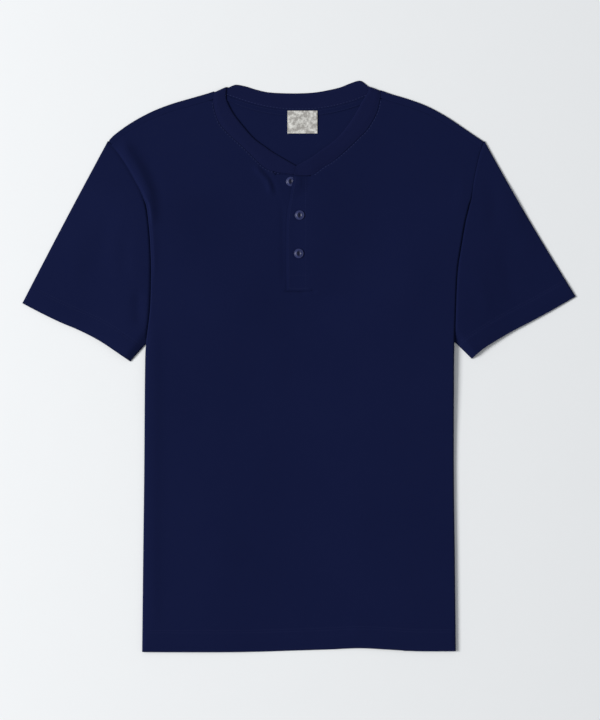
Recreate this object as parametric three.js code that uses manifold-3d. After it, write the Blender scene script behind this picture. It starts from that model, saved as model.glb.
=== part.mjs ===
// A short-sleeved henley shirt of smooth navy jersey, laid flat on its back with its sides tucked under.
// Millimetres. +X is to the right seen from above, +Y runs from the hem to the neck, +Z is up.
// The origin is the middle of the shirt's outline, on the surface that it lies on.
import * as THREE from "three";
import { mergeVertices } from "three/addons/utils/BufferGeometryUtils.js";
import Module from "manifold-3d";

const wasm = await Module();
wasm.setup();

// Cloth and layers
const CLOTH = 1.0; // wall of the jersey
const SEAM_GAP = 0.3; // between two pieces that are sewn edge to edge
const LAYER = 1.5; // from the middle of one layer to the middle of the next
const FLOOR_LAYER = CLOTH / 2; // height of the middle of the lowest layer
const BACK_FOLD = LAYER / 2; // radius of the fold in the back panel
const FRONT_FOLD = BACK_FOLD + LAYER; // the front panel folds round the outside of the back
const FOLD_CENTRE = FLOOR_LAYER + FRONT_FOLD;
const FOLD_REACH = FRONT_FOLD + CLOTH / 2;
const TUCK_LIFT = 2 * LAYER; // two turned-under layers raise the two above them
const SLEEVE_LIFT = 2 * LAYER; // and so does the sleeve where the body lies on it

// Visible edge of the body, measured out from the centre line: the side folds up to the
// armpit, the fold over the sleeve above that, then the armhole seam up to the shoulder tip.
const BODY_EDGE = [
  { y: -357, left: 196.3, right: 196.2 },
  { y: -241, left: 195.0, right: 195.0 },
  { y: -141, left: 193.8, right: 193.8 },
  { y: -4, left: 192.5, right: 193.8 },
  { y: 26, left: 191.5, right: 194.2 },
  { y: 71, left: 186.4, right: 195.6 },
  { y: 120, left: 185.0, right: 197.8 },
  { y: 155, left: 186.2, right: 203.0 },
  { y: 181, left: 188.4, right: 207.5 },
  { y: 201, left: 191.2, right: 212.3 },
  { y: 217, left: 196.4, right: 215.5 },
  { y: 235, left: 206.0, right: 218.5 },
  { y: 251, left: 215.0, right: 221.8 },
  { y: 270, left: 228.0, right: 226.5 },
  { y: 281, left: 238.0, right: 231.0 },
  { y: 300, left: 252.0, right: 242.0 },
];

// Cloth turned under at each side: the side seam lies this far in from the fold.
// Above the underarm point the turned-under edge is the lower half of the armhole.
const UNDERARM_Y = 80;
const SIDE_SEAM = { atHem: 63, atUnderarm: 58 };
const HIDDEN_ARMHOLE = [
  { y: 80, tuck: 58 },
  { y: 97, tuck: 38 },
  { y: 122, tuck: 22 },
  { y: 155, tuck: 9 },
  { y: 190, tuck: 0 },
];
const FOLD_START_Y = 190; // the side is turned right under below this
const FOLD_FADE = 22; // and lies open above it by this

// Top outline of each shoulder, against the distance from the centre line.
const SHOULDER = [
  { x: 0, left: 352, right: 352 },
  { x: 60, left: 350, right: 350.5 },
  { x: 101, left: 345.5, right: 345.5 },
  { x: 114, left: 341.5, right: 341.2 },
  { x: 136, left: 335.2, right: 334.6 },
  { x: 161, left: 327.8, right: 325.2 },
  { x: 186, left: 317.8, right: 311.5 },
  { x: 211, left: 304.0, right: 294.6 },
  { x: 231, left: 289.5, right: 281.2 },
  { x: 238, left: 282.5, right: 277.0 },
  { x: 262, left: 262.0, right: 262.0 },
];
const FORWARD_SEAM = 10; // the back comes this far over the shoulder to its seam

// Hem of both panels
const HEM = [
  { x: -200, y: -357.0 },
  { x: -70, y: -357.0 },
  { x: 0, y: -355.2 },
  { x: 40, y: -353.8 },
  { x: 76, y: -352.2 },
  { x: 112, y: -353.9 },
  { x: 145, y: -355.8 },
  { x: 200, y: -356.0 },
];

// Back neckline: a shallow curve between the shoulders.
const BACK_NECK = { halfWidth: 85, low: 320, rise: 17 };

// Neckband, each row from its seam to its free edge. The front rows start at the centre and
// the back rows at the left fold.
const BAND = 1.4;
const BAND_FOLD = 0.9; // radius where the band turns from front to back
const BAND_BACK_Z = BAND / 2;
const BAND_FRONT_Z = BAND_BACK_Z + 2 * BAND_FOLD;
const BAND_LEFT = [
  { seamX: 1, seamY: 240, freeX: 3, freeY: 248 },
  { seamX: -11, seamY: 240.5, freeX: -4, freeY: 251 },
  { seamX: -34, seamY: 244.5, freeX: -25, freeY: 263 },
  { seamX: -46, seamY: 251, freeX: -34, freeY: 268.5 },
  { seamX: -56, seamY: 260.6, freeX: -42.5, freeY: 274.6 },
  { seamX: -71, seamY: 275.5, freeX: -56.5, freeY: 285 },
  { seamX: -86, seamY: 289, freeX: -69, freeY: 299 },
  { seamX: -98.5, seamY: 303, freeX: -80.5, freeY: 313.5 },
  { seamX: -104.7, seamY: 317.5, freeX: -87.5, freeY: 325.5 },
  { seamX: -107, seamY: 330, freeX: -91, freeY: 335 },
  { seamX: -106.5, seamY: 338.5, freeX: -91, freeY: 345 },
];
const BAND_BACK = [
  { seamX: -104.5, seamY: 341.6, freeX: -88.5, freeY: 348.6 },
  { seamX: -97, seamY: 339.9, freeX: -83, freeY: 351.2 },
  { seamX: -86, seamY: 337.8, freeX: -77.5, freeY: 352.3 },
  { seamX: -74, seamY: 333.4, freeX: -66, freeY: 350 },
  { seamX: -59, seamY: 328.8, freeX: -53, freeY: 346 },
  { seamX: -41, seamY: 324.4, freeX: -38, freeY: 342.8 },
  { seamX: -17, seamY: 321, freeX: -17, freeY: 341.6 },
  { seamX: 4, seamY: 320.5, freeX: 3, freeY: 341.6 },
  { seamX: 24, seamY: 321.8, freeX: 21, freeY: 342.8 },
  { seamX: 42, seamY: 324.6, freeX: 37, freeY: 345.6 },
  { seamX: 58, seamY: 328.5, freeX: 52, freeY: 349.2 },
  { seamX: 72, seamY: 332.7, freeX: 64, freeY: 354 },
  { seamX: 85, seamY: 337.6, freeX: 76, freeY: 357.4 },
  { seamX: 94, seamY: 340.5, freeX: 83.5, freeY: 353 },
  { seamX: 101, seamY: 343.4, freeX: 87, freeY: 349 },
];
const BAND_RIGHT = [
  { seamX: 102, seamY: 337.5, freeX: 87, freeY: 344 },
  { seamX: 101, seamY: 332, freeX: 84, freeY: 339 },
  { seamX: 98.5, seamY: 321, freeX: 78.5, freeY: 330.5 },
  { seamX: 94, seamY: 310.5, freeX: 73, freeY: 320 },
  { seamX: 85, seamY: 296, freeX: 66, freeY: 308.5 },
  { seamX: 75, seamY: 286, freeX: 58.5, freeY: 298 },
  { seamX: 66, seamY: 277, freeX: 51, freeY: 289 },
  { seamX: 55, seamY: 267, freeX: 42.5, freeY: 281 },
  { seamX: 42.5, seamY: 256.5, freeX: 33, freeY: 274 },
  { seamX: 31, seamY: 249.5, freeX: 25, freeY: 268.2 },
  { seamX: 24, seamY: 244, freeX: 18.5, freeY: 263.4 },
  { seamX: 15.5, seamY: 239, freeX: 11, freeY: 258.5 },
  { seamX: 4, seamY: 238.2, freeX: 3, freeY: 254 },
  { seamX: -6.3, seamY: 238, freeX: -3, freeY: 251 },
];
const BAND_STEPS = { left: 26, back: 30, right: 30 };
const BAND_OVERLAP = { from: 6, to: 40, lift: 1.9 }; // the right end climbs over the left one

// Placket: a slot in the front with one strip sewn in it and one over it.
const SLOT = { left: -15.2, right: 14.8, foot: 97 };
const SLOT_SLANT = [
  { x: -15.2, y: 196 },
  { x: -18.8, y: 217.5 },
  { x: -24, y: 231 },
  { x: -31, y: 241.5 },
];
const TOP_STRIP = { left: -15.9, right: 15.8, foot: 94.5, head: 237.6 };
const TOP_STRIP_SLANT = [
  { x: -15.9, y: 178 },
  { x: -14.4, y: 194 },
  { x: -11.9, y: 209 },
  { x: -9, y: 226 },
  { x: -6.9, y: 237.6 },
];

// Buttons: two are fastened through the top strip, and the top one lies half under its edge.
const BUTTON = {
  radius: 6,
  footRadius: 4.8,
  widestHeight: 0.86,
  shoulderRadius: 5.75,
  shoulderHeight: 1.52,
  rimRadius: 5.35,
  height: 1.9,
  rimInnerRadius: 4.7,
  rimInnerHeight: 1.62,
  dishRadius: 3.7,
  dishHeight: 1.2,
  holeRadius: 0.7,
  holeSpacing: 2.4,
  sides: 18,
  holeSides: 8,
};
const BUTTONS = [
  { name: "button_top", x: -10.2, y: 231, fastened: false },
  { name: "button_middle", x: 0.8, y: 189, fastened: true },
  { name: "button_bottom", x: -0.2, y: 141, fastened: true },
];
const EDGE_RISE = { reach: 17, height: 2.3 }; // the strip's edge rides up on the top button

// Sleeves: the cuff from its outer corner to its inner one, out from the centre line.
const CUFF = {
  left: [
    { x: 346.2, y: 79 },
    { x: 324, y: 67.3 },
    { x: 299, y: 55.2 },
    { x: 274, y: 44.6 },
    { x: 249, y: 31.6 },
    { x: 224, y: 15 },
    { x: 211, y: 6 },
  ],
  right: [
    { x: 346.2, y: 87.5 },
    { x: 314, y: 69 },
    { x: 289, y: 55.6 },
    { x: 264, y: 42.4 },
    { x: 239, y: 27.6 },
    { x: 226, y: 18.6 },
    { x: 216, y: 9.4 },
  ],
};
const SLEEVE_BULGE = { left: 0.6, right: -1.6 }; // how far the upper edge rounds out of a straight line
const SLEEVE_HOLLOW = { left: 5, right: 2 }; // how far the lower edge hollows in from one
const HOLLOW_SLANT = { x: 0.65, y: 0.76 }; // direction into the sleeve from its lower edge
const SLEEVE_ROWS = 10;
const SLEEVE_COLUMNS = 10;
const FOLD_STEPS = 4;

// Neck tape and label, inside the back
const TRIM = 0.8;
const TAPE = { left: -83, right: 73, width: 6.5 };
const LABEL = { left: -14.4, right: 22.9, foot: 291.3, head: 319.6 };

const MATERIALS = {
  body: { color: 0x13193a, roughness: 0.92 },
  rib: { color: 0x161b3d, roughness: 0.94 },
  tape: { color: 0x171c40, roughness: 0.95 },
  label: { color: 0xb9b8b0, roughness: 0.9 },
  button: { color: 0x39415f, roughness: 0.4 },
};

// Smooth value of one column of a table at a place along another, which rises row by row.
function through(rows, along, column) {
  const last = rows.length - 1;
  const slope = (i) => {
    const before = rows[Math.max(i - 1, 0)];
    const after = rows[Math.min(i + 1, last)];
    return (after[column] - before[column]) / (after[along] - before[along]);
  };
  return (place) => {
    const clamped = THREE.MathUtils.clamp(place, rows[0][along], rows[last][along]);
    const k = Math.max(1, rows.findIndex((row) => clamped <= row[along]));
    const from = rows[k - 1];
    const to = rows[k];
    const span = to[along] - from[along];
    const t = (clamped - from[along]) / span;
    const keep = (2 * t - 3) * t * t + 1;
    return (
      keep * from[column] +
      (1 - keep) * to[column] +
      ((t - 2) * t + 1) * t * span * slope(k - 1) +
      (t - 1) * t * t * span * slope(k)
    );
  };
}

const bodyEdge = { left: through(BODY_EDGE, "y", "left"), right: through(BODY_EDGE, "y", "right") };
const shoulderTop = { left: through(SHOULDER, "x", "left"), right: through(SHOULDER, "x", "right") };
const hiddenArmhole = through(HIDDEN_ARMHOLE, "y", "tuck");
const hemLine = through(HEM, "x", "y");
const hemBottom = HEM[0].y;
const { smoothstep, lerp } = THREE.MathUtils;

const sideOf = (x) => (x < 0 ? "left" : "right");
const signOf = (side) => (side === "left" ? -1 : 1);

// How far the cloth is turned under at a height.
function tuckAt(y) {
  if (y < UNDERARM_Y) {
    const down = (UNDERARM_Y - y) / (UNDERARM_Y - hemBottom);
    return lerp(SIDE_SEAM.atUnderarm, SIDE_SEAM.atHem, down);
  }
  return y < FOLD_START_Y ? hiddenArmhole(y) : 0;
}

// Angle through which the side has turned over at a height: half a turn below the armhole.
const turnAt = (y) => Math.PI * (1 - smoothstep(y, FOLD_START_Y, FOLD_START_Y + FOLD_FADE));

// Distance out to the centre of the side fold.
function foldCentre(side, y) {
  return bodyEdge[side](y) - FOLD_REACH * Math.sin(Math.min(turnAt(y), Math.PI / 2));
}

// Share of the lift that the turned-under cloth gives the layers above it.
const TUCK_SLOPE = 48;
const TUCK_FADE = { from: 2, to: 42 }; // above where the side stops turning under
function raisedByTuck(side, distance, y) {
  const inner = foldCentre(side, y) - tuckAt(y) - 1;
  const beside = 1 - smoothstep(inner - distance, 0, TUCK_SLOPE);
  return beside * (1 - smoothstep(y, FOLD_START_Y + TUCK_FADE.from, FOLD_START_Y + TUCK_FADE.to));
}

// Lift of the body where it lies on the sleeve, easing off past the sleeve's hidden edges.
const SLEEVE_SLOPE = 42;
const SLEEVE_FADE = { from: 6, to: 54 };
const SLEEVE_MARGIN = 9; // the body is fully raised this far past the sleeve's edges
function raisedBySleeve(side, distance, y) {
  const armhole = foldCentre(side, Math.max(y, UNDERARM_Y)) - tuckAt(Math.max(y, UNDERARM_Y));
  const corner = CUFF[side][CUFF[side].length - 1];
  const tip = foldCentre(side, UNDERARM_Y) - SIDE_SEAM.atUnderarm;
  const across = new THREE.Vector2(corner.x - tip, corner.y - UNDERARM_Y);
  const above = (across.x * (y - UNDERARM_Y) - across.y * (distance - tip)) / across.length();
  const inside = Math.min(distance - armhole, above) + SLEEVE_MARGIN;
  const open = smoothstep(y, FOLD_START_Y + SLEEVE_FADE.from, FOLD_START_Y + SLEEVE_FADE.to);
  return smoothstep(inside, -SLEEVE_SLOPE, 0) * (1 - open);
}

// Place of a panel's middle for a point of its flat pattern: level, round the side fold, then under.
function bodyPlace(radius) {
  return (x, y) => {
    const side = sideOf(x);
    const centre = foldCentre(side, y);
    const past = Math.abs(x) - centre;
    const angle = THREE.MathUtils.clamp(past / radius, 0, Math.PI);
    const under = Math.max(0, past - Math.PI * radius);
    const out = Math.min(Math.abs(x), centre) + radius * Math.sin(angle) - under;
    const lift = SLEEVE_LIFT * raisedBySleeve(side, out, y);
    const drop = under > 0 ? 0 : TUCK_LIFT * (1 - raisedByTuck(side, out, y));
    const z = FOLD_CENTRE + radius * Math.cos(angle) - drop + lift;
    return new THREE.Vector3(signOf(side) * out, y, z);
  };
}

const frontPlace = bodyPlace(FRONT_FOLD);
const backBody = bodyPlace(BACK_FOLD);

// The back also turns up over the shoulders, to the front panel's level.
const shoulderFold = (side, x) => shoulderTop[side](Math.abs(x)) - CLOTH / 2 - BACK_FOLD;
function backPlace(x, y) {
  const fold = shoulderFold(sideOf(x), x);
  const past = y - fold;
  const flat = backBody(x, Math.min(y, fold));
  if (past <= 0) return flat;
  const angle = Math.min(past / BACK_FOLD, Math.PI);
  const beyond = Math.max(0, past - Math.PI * BACK_FOLD);
  flat.y = fold + BACK_FOLD * Math.sin(angle) - beyond;
  flat.z += BACK_FOLD * (1 - Math.cos(angle));
  return flat;
}

// A three.js geometry as a solid, and a solid as a geometry.
function solidFrom(geometry) {
  const bare = geometry.clone();
  bare.deleteAttribute("normal");
  bare.deleteAttribute("uv");
  const merged = mergeVertices(bare, 1e-4);
  return new wasm.Manifold(
    new wasm.Mesh({
      numProp: 3,
      vertProperties: merged.attributes.position.array,
      triVerts: new Uint32Array(merged.index.array),
    }),
  );
}

function geometryFrom(solid) {
  const mesh = solid.getMesh();
  const geometry = new THREE.BufferGeometry();
  geometry.setAttribute("position", new THREE.BufferAttribute(mesh.vertProperties, 3));
  geometry.setIndex(new THREE.BufferAttribute(mesh.triVerts, 1));
  return geometry;
}

// A closed wall over a grid of points: its top points, then its bottom points.
function wallOf(top, bottom, rows, columns) {
  const half = rows * columns;
  const index = [];
  const quad = (a, b, c, d) => index.push(a, b, c, a, c, d);
  const at = (row, column) => row * columns + column;
  for (let r = 0; r < rows - 1; r++)
    for (let c = 0; c < columns - 1; c++) {
      quad(at(r, c), at(r, c + 1), at(r + 1, c + 1), at(r + 1, c));
      quad(half + at(r, c), half + at(r + 1, c), half + at(r + 1, c + 1), half + at(r, c + 1));
    }
  const rim = (a, b) => quad(a, half + a, half + b, b);
  for (let c = 0; c < columns - 1; c++) {
    rim(at(0, c), at(0, c + 1));
    rim(at(rows - 1, c + 1), at(rows - 1, c));
  }
  for (let r = 0; r < rows - 1; r++) {
    rim(at(r + 1, 0), at(r, 0));
    rim(at(r, columns - 1), at(r + 1, columns - 1));
  }
  const geometry = new THREE.BufferGeometry().setFromPoints([...top, ...bottom]);
  geometry.setIndex(index);
  return geometry;
}

// An uncut sheet on a grid of pattern points. Its ripple keeps each grid point through the cut.
const UNCUT = 10;
function uncutSheet(grid) {
  const ripple = (r, c) => UNCUT + ((r + 2 * c) % 3);
  const face = (sign) =>
    grid.flatMap((row, r) => row.map((p, c) => new THREE.Vector3(p.x, p.y, sign * ripple(r, c))));
  return wallOf(face(1), face(-1), grid.length, grid[0].length);
}

// Cuts a sheet to its outline and lays it: each point goes to the cloth's middle, and out by half the wall.
const NEAR = 0.02;
function cutAndLay(grid, outline, place, wall) {
  const cutter = new THREE.ExtrudeGeometry(new THREE.Shape(outline), {
    depth: 4 * UNCUT,
    bevelEnabled: false,
  }).translate(0, 0, -2 * UNCUT);
  const geometry = geometryFrom(solidFrom(uncutSheet(grid)).intersect(solidFrom(cutter)));
  const points = geometry.attributes.position;
  for (let i = 0; i < points.count; i++) {
    const x = points.getX(i);
    const y = points.getY(i);
    const along = place(x + NEAR, y).sub(place(x - NEAR, y));
    const up = place(x, y + NEAR).sub(place(x, y - NEAR));
    const out = along.cross(up).setLength((Math.sign(points.getZ(i)) * wall) / 2);
    const laid = place(x, y).add(out);
    points.setXYZ(i, laid.x, laid.y, laid.z);
  }
  return geometry;
}

// Distances out from the centre line of a panel's grid columns at a height.
const COLUMN_STEPS = { middle: 3, slope: 3, overTuck: 2, tuck: 3 };
const LEAST_TUCK = 14; // keeps the columns apart where nothing is turned under
const GRID_MARGIN = 6; // the uncut sheet's overhang past its outline
function columnsAt(side, y, radius) {
  const centre = foldCentre(side, y);
  const inner = centre - Math.max(tuckAt(y), LEAST_TUCK);
  const turned = centre + Math.PI * radius;
  const stops = [
    { at: 0, steps: COLUMN_STEPS.middle },
    { at: inner - TUCK_SLOPE - 1, steps: COLUMN_STEPS.slope },
    { at: inner, steps: COLUMN_STEPS.overTuck },
    { at: centre, steps: FOLD_STEPS },
    { at: turned, steps: COLUMN_STEPS.tuck },
    { at: turned + tuckAt(y) + GRID_MARGIN, steps: 0 },
  ];
  const columns = [0];
  stops.slice(0, -1).forEach((stop, k) => {
    for (let i = 1; i <= stop.steps; i++) columns.push(lerp(stop.at, stops[k + 1].at, i / stop.steps));
  });
  return columns;
}

// Heights of a panel's grid rows: level ones up the body, then rows that bend to the shoulders.
const LEVEL_ROWS = [
  -364, -320, -270, -215, -160, -105, -60, -25, 0, 20, 40, 60, 79, 88, 104, 122, 140, 158, 174, 189,
  200, 212,
];
const SHOULDER_ROWS = [0.2, 0.42, 0.62, 0.8, 1];
const SHOULDER_TIP_Y = 281;
const TOP_ROW_DROP = 12;

function panelGrid(radius, beyond) {
  const lastLevel = LEVEL_ROWS[LEVEL_ROWS.length - 1];
  const rowOf = (nominal, height) => {
    const right = columnsAt("right", nominal, radius);
    const left = columnsAt("left", nominal, radius);
    const xs = [...left.slice(1).reverse().map((x) => -x), ...right];
    return xs.map((x) => new THREE.Vector2(x, height(x)));
  };
  const top = (x) => shoulderTop[sideOf(x)](Math.abs(x)) - TOP_ROW_DROP;
  return [
    ...LEVEL_ROWS.map((y) => rowOf(y, () => y)),
    ...SHOULDER_ROWS.map((f) =>
      rowOf(lerp(lastLevel, SHOULDER_TIP_Y, f), (x) => lerp(lastLevel, top(x), f)),
    ),
    ...beyond.map((past) => rowOf(SHOULDER_TIP_Y, (x) => top(x) + past)),
  ];
}

// Smooth polyline through a table's points.
function smoothLine(rows, divisions) {
  return new THREE.SplineCurve(rows.map((row) => new THREE.Vector2(row.x, row.y))).getPoints(divisions);
}

const mirrored = (points) => points.map((p) => new THREE.Vector2(-p.x, p.y)).reverse();

// One side of a panel's pattern, from the hem up to the armhole's top, out from the centre line.
const SIDE_SEAM_HEIGHTS = [hemBottom, -200, -60, UNDERARM_Y];
const ARMHOLE_STEPS = 22;
function sideOutline(side, radius, topY) {
  const heights = [...SIDE_SEAM_HEIGHTS];
  for (let i = 1; i <= ARMHOLE_STEPS; i++) heights.push(lerp(UNDERARM_Y, topY, i / ARMHOLE_STEPS));
  return heights.map((y) => {
    const x = foldCentre(side, y) + radius * turnAt(y) + tuckAt(y);
    return new THREE.Vector2(x, y === hemBottom ? hemLine(signOf(side) * bodyEdge[side](y)) : y);
  });
}

const HEM_POINTS = { reach: 180, apart: 24 };
function hemOutline() {
  const { reach, apart } = HEM_POINTS;
  const points = [];
  for (let x = -reach; x <= reach; x += apart) points.push(new THREE.Vector2(x, hemLine(x)));
  return points;
}

// One long edge of a stretch of the neckband, seen from above.
function bandEdge(rows, name, steps) {
  const points = rows.map((row) => new THREE.Vector2(row[`${name}X`], row[`${name}Y`]));
  return new THREE.SplineCurve(points).getPoints(steps);
}

// The front's neckline on one side: the band's seam, moved off it by the seam gap.
const NECKLINE_GAP = 1.2 * SEAM_GAP; // a little more than the gap, since both are polylines
const CORNER_GAP = 1; // a neckline point is dropped this close to a corner
function frontNeckline(rows, steps, side) {
  const free = bandEdge(rows, "free", steps);
  const slotEdge = side === "left" ? SLOT_SLANT[SLOT_SLANT.length - 1].x : SLOT.right;
  return bandEdge(rows, "seam", steps)
    .map((p, i) => p.clone().add(p.clone().sub(free[i]).setLength(NECKLINE_GAP)))
    .filter((p) => Math.abs(p.x) > Math.abs(slotEdge) + CORNER_GAP && signOf(side) * p.x > 0)
    .filter((p) => p.y < shoulderTop[side](Math.abs(p.x)) - FORWARD_SEAM - CORNER_GAP);
}

// Height at which the front's shoulder seam meets the armhole, found by stepping up the armhole.
const SEAM_SEARCH_STEP = 0.25;
function shoulderSeamTop(side) {
  let y = SHOULDER_TIP_Y - 2 * FORWARD_SEAM;
  while (y < shoulderTop[side](bodyEdge[side](y)) - FORWARD_SEAM) y += SEAM_SEARCH_STEP;
  return y;
}

const SHOULDER_STEPS = 8;
function shoulderSeam(side, fromX, toX, lower) {
  const points = [];
  for (let i = 0; i <= SHOULDER_STEPS; i++) {
    const x = lerp(fromX, toX, i / SHOULDER_STEPS);
    points.push(new THREE.Vector2(x, shoulderTop[side](x) - lower));
  }
  return points;
}

const FRONT_OVERHANG = 8; // last grid row of the front, past the row below the shoulder
function frontPanel() {
  const seamTop = { left: shoulderSeamTop("left"), right: shoulderSeamTop("right") };
  const neckLeft = frontNeckline(BAND_LEFT, BAND_STEPS.left, "left");
  const neckRight = frontNeckline(BAND_RIGHT, BAND_STEPS.right, "right");
  const right = sideOutline("right", FRONT_FOLD, seamTop.right);
  const left = sideOutline("left", FRONT_FOLD, seamTop.left);
  // The seam's two ends belong to the armhole and to the neckline.
  const seam = (side, neckX) =>
    shoulderSeam(side, bodyEdge[side](seamTop[side]), neckX, FORWARD_SEAM).slice(1, -1);
  const slot = [
    new THREE.Vector2(SLOT.right, neckRight[neckRight.length - 1].y),
    new THREE.Vector2(SLOT.right, SLOT.foot),
    new THREE.Vector2(SLOT.left, SLOT.foot),
    ...SLOT_SLANT.map((p) => new THREE.Vector2(p.x, p.y)),
  ];
  const outline = [
    ...hemOutline(),
    ...right,
    ...seam("right", neckRight[0].x),
    ...neckRight,
    ...slot,
    ...neckLeft,
    ...mirrored(seam("left", -neckLeft[neckLeft.length - 1].x)),
    ...mirrored(left),
  ];
  return cutAndLay(panelGrid(FRONT_FOLD, [FRONT_OVERHANG]), outline, frontPlace, CLOTH);
}

// The back's neckline, from the right shoulder to the left.
const NECK_FOLD_X = { left: 107.6, right: 103.6 };
const NECK_CORNER = { inset: 9, rise: 2.6 }; // between the neckline's end and the shoulder fold
const NECK_STEPS = 20;
function backNeckline() {
  const points = [];
  for (let i = 0; i <= NECK_STEPS; i++) {
    const x = lerp(BACK_NECK.halfWidth, -BACK_NECK.halfWidth, i / NECK_STEPS);
    points.push(new THREE.Vector2(x, backNeckY(x)));
  }
  return points;
}

function backNeckY(x) {
  return BACK_NECK.low + BACK_NECK.rise * (x / BACK_NECK.halfWidth) ** 2 - SEAM_GAP;
}

const FOLD_MARGIN = 3; // grid rows this far below the shoulder fold and past the flap
function backPanel() {
  // Past the shoulder fold a pattern point lies on the front again, short of the front's seam.
  const flapReach = Math.PI * BACK_FOLD + FORWARD_SEAM - CLOTH / 2 - BACK_FOLD - SEAM_GAP;
  const flap = (side, fromX, toX) =>
    shoulderSeam(side, fromX, toX, CLOTH / 2 + BACK_FOLD - flapReach);
  const side = (name) => {
    const foldY = SHOULDER_TIP_Y - 1;
    const tip = bodyEdge[name](foldY);
    const seamTip = bodyEdge[name](shoulderSeamTop(name));
    const neck = NECK_FOLD_X[name];
    const neckEnd = backNeckY(BACK_NECK.halfWidth);
    return [
      ...sideOutline(name, BACK_FOLD, foldY),
      new THREE.Vector2(tip, shoulderFold(name, tip) + (Math.PI * BACK_FOLD) / 2),
      ...flap(name, seamTip, neck),
      new THREE.Vector2(neck, shoulderFold(name, neck)),
      new THREE.Vector2(neck - NECK_CORNER.inset, neckEnd + NECK_CORNER.rise),
    ];
  };
  const outline = [...hemOutline(), ...side("right"), ...backNeckline(), ...mirrored(side("left"))];
  const foldPast = TOP_ROW_DROP - CLOTH / 2 - BACK_FOLD;
  const beyond = [foldPast - FOLD_MARGIN, foldPast];
  for (let i = 1; i <= FOLD_STEPS; i++)
    beyond.push(foldPast + (Math.PI * BACK_FOLD * i) / FOLD_STEPS);
  beyond.push(foldPast + flapReach + FOLD_MARGIN);
  return cutAndLay(panelGrid(BACK_FOLD, beyond), outline, backPlace, CLOTH);
}

// One ring of a flattened sleeve: over its top layer, round the lower fold, back, round the upper fold.
function sleeveRing(section, radius) {
  const centreZ = FLOOR_LAYER + BACK_FOLD;
  const last = section.length - 1;
  const outward = (from, to) => to.clone().sub(from).setLength(radius);
  const lower = outward(section[last - 1], section[last]);
  const upper = outward(section[1], section[0]);
  const ring = section.map((p) => new THREE.Vector3(p.x, p.y, centreZ + radius));
  const turn = (p, out, up) => {
    for (let i = 1; i < FOLD_STEPS; i++) {
      const angle = (Math.PI * i) / FOLD_STEPS;
      const q = p.clone().addScaledVector(out, Math.sin(angle));
      ring.push(new THREE.Vector3(q.x, q.y, centreZ + up * radius * Math.cos(angle)));
    }
  };
  turn(section[last], lower, 1);
  for (let i = last; i >= 0; i--) ring.push(new THREE.Vector3(section[i].x, section[i].y, centreZ - radius));
  turn(section[0], upper, -1);
  return ring;
}

// The sleeve's armhole end: along the seam, then along the turned-under half of the armhole.
const HEAD_STEP = 10;
function sleeveHead(side) {
  const points = [];
  const add = (x, y) => points.push(new THREE.Vector2(x + SEAM_GAP, y));
  for (let y = SHOULDER_TIP_Y + 1; y > FOLD_START_Y + FOLD_FADE; y -= HEAD_STEP)
    add(bodyEdge[side](y), y);
  const halfTurned = FOLD_START_Y + FOLD_FADE / 2;
  add(bodyEdge[side](halfTurned), halfTurned);
  for (const row of [...HIDDEN_ARMHOLE].reverse()) add(foldCentre(side, row.y) - row.tuck, row.y);
  return points;
}

function sleeve(side) {
  const inset = BACK_FOLD + CLOTH / 2;
  const head = new THREE.SplineCurve(sleeveHead(side)).getSpacedPoints(SLEEVE_COLUMNS);
  const cuff = smoothLine(CUFF[side], SLEEVE_COLUMNS);
  const sections = [];
  for (let r = 0; r <= SLEEVE_ROWS; r++) {
    const t = r / SLEEVE_ROWS;
    const line = head.map((p, c) => {
      const down = c / SLEEVE_COLUMNS;
      const bow = Math.sin(Math.PI * t);
      const bulge = SLEEVE_BULGE[side] * bow * (1 - down) ** 2;
      const hollow = SLEEVE_HOLLOW[side] * bow * down ** 2;
      const shift = new THREE.Vector2(bulge + hollow * HOLLOW_SLANT.x, bulge / 2 + hollow * HOLLOW_SLANT.y);
      return p.clone().lerp(cuff[c], t).add(shift);
    });
    const pull = (from, to) => from.add(to.clone().sub(from).setLength(inset));
    pull(line[0], line[1]);
    pull(line[SLEEVE_COLUMNS], line[SLEEVE_COLUMNS - 1]);
    sections.push(line.map((p) => new THREE.Vector2(signOf(side) * p.x, p.y)));
  }
  const outer = sections.map((section) => sleeveRing(section, BACK_FOLD + CLOTH / 2));
  const inner = sections.map((section) => sleeveRing(section, BACK_FOLD - CLOTH / 2));
  return tubeWall(outer, inner, side === "left");
}

// A closed wall between outer rings and inner rings, with its two ends.
function tubeWall(outer, inner, flip) {
  const rows = outer.length;
  const around = outer[0].length;
  const half = rows * around;
  const index = [];
  const quad = (a, b, c, d) => (flip ? index.push(a, c, b, a, d, c) : index.push(a, b, c, a, c, d));
  const at = (row, k) => row * around + (k % around);
  for (let k = 0; k < around; k++) {
    for (let r = 0; r < rows - 1; r++) {
      quad(at(r, k), at(r, k + 1), at(r + 1, k + 1), at(r + 1, k));
      quad(half + at(r, k), half + at(r + 1, k), half + at(r + 1, k + 1), half + at(r, k + 1));
    }
    quad(at(0, k), half + at(0, k), half + at(0, k + 1), at(0, k + 1));
    quad(at(rows - 1, k), at(rows - 1, k + 1), half + at(rows - 1, k + 1), half + at(rows - 1, k));
  }
  const geometry = new THREE.BufferGeometry().setFromPoints([...outer.flat(), ...inner.flat()]);
  geometry.setIndex(index);
  return geometry;
}

// Rise of the top strip and the band's right end where they pass over the top button.
function edgeRise(x, y) {
  const away = Math.hypot(x - BUTTONS[0].x, y - BUTTONS[0].y);
  return EDGE_RISE.height * (1 - smoothstep(away, BUTTON.radius, EDGE_RISE.reach));
}

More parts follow.
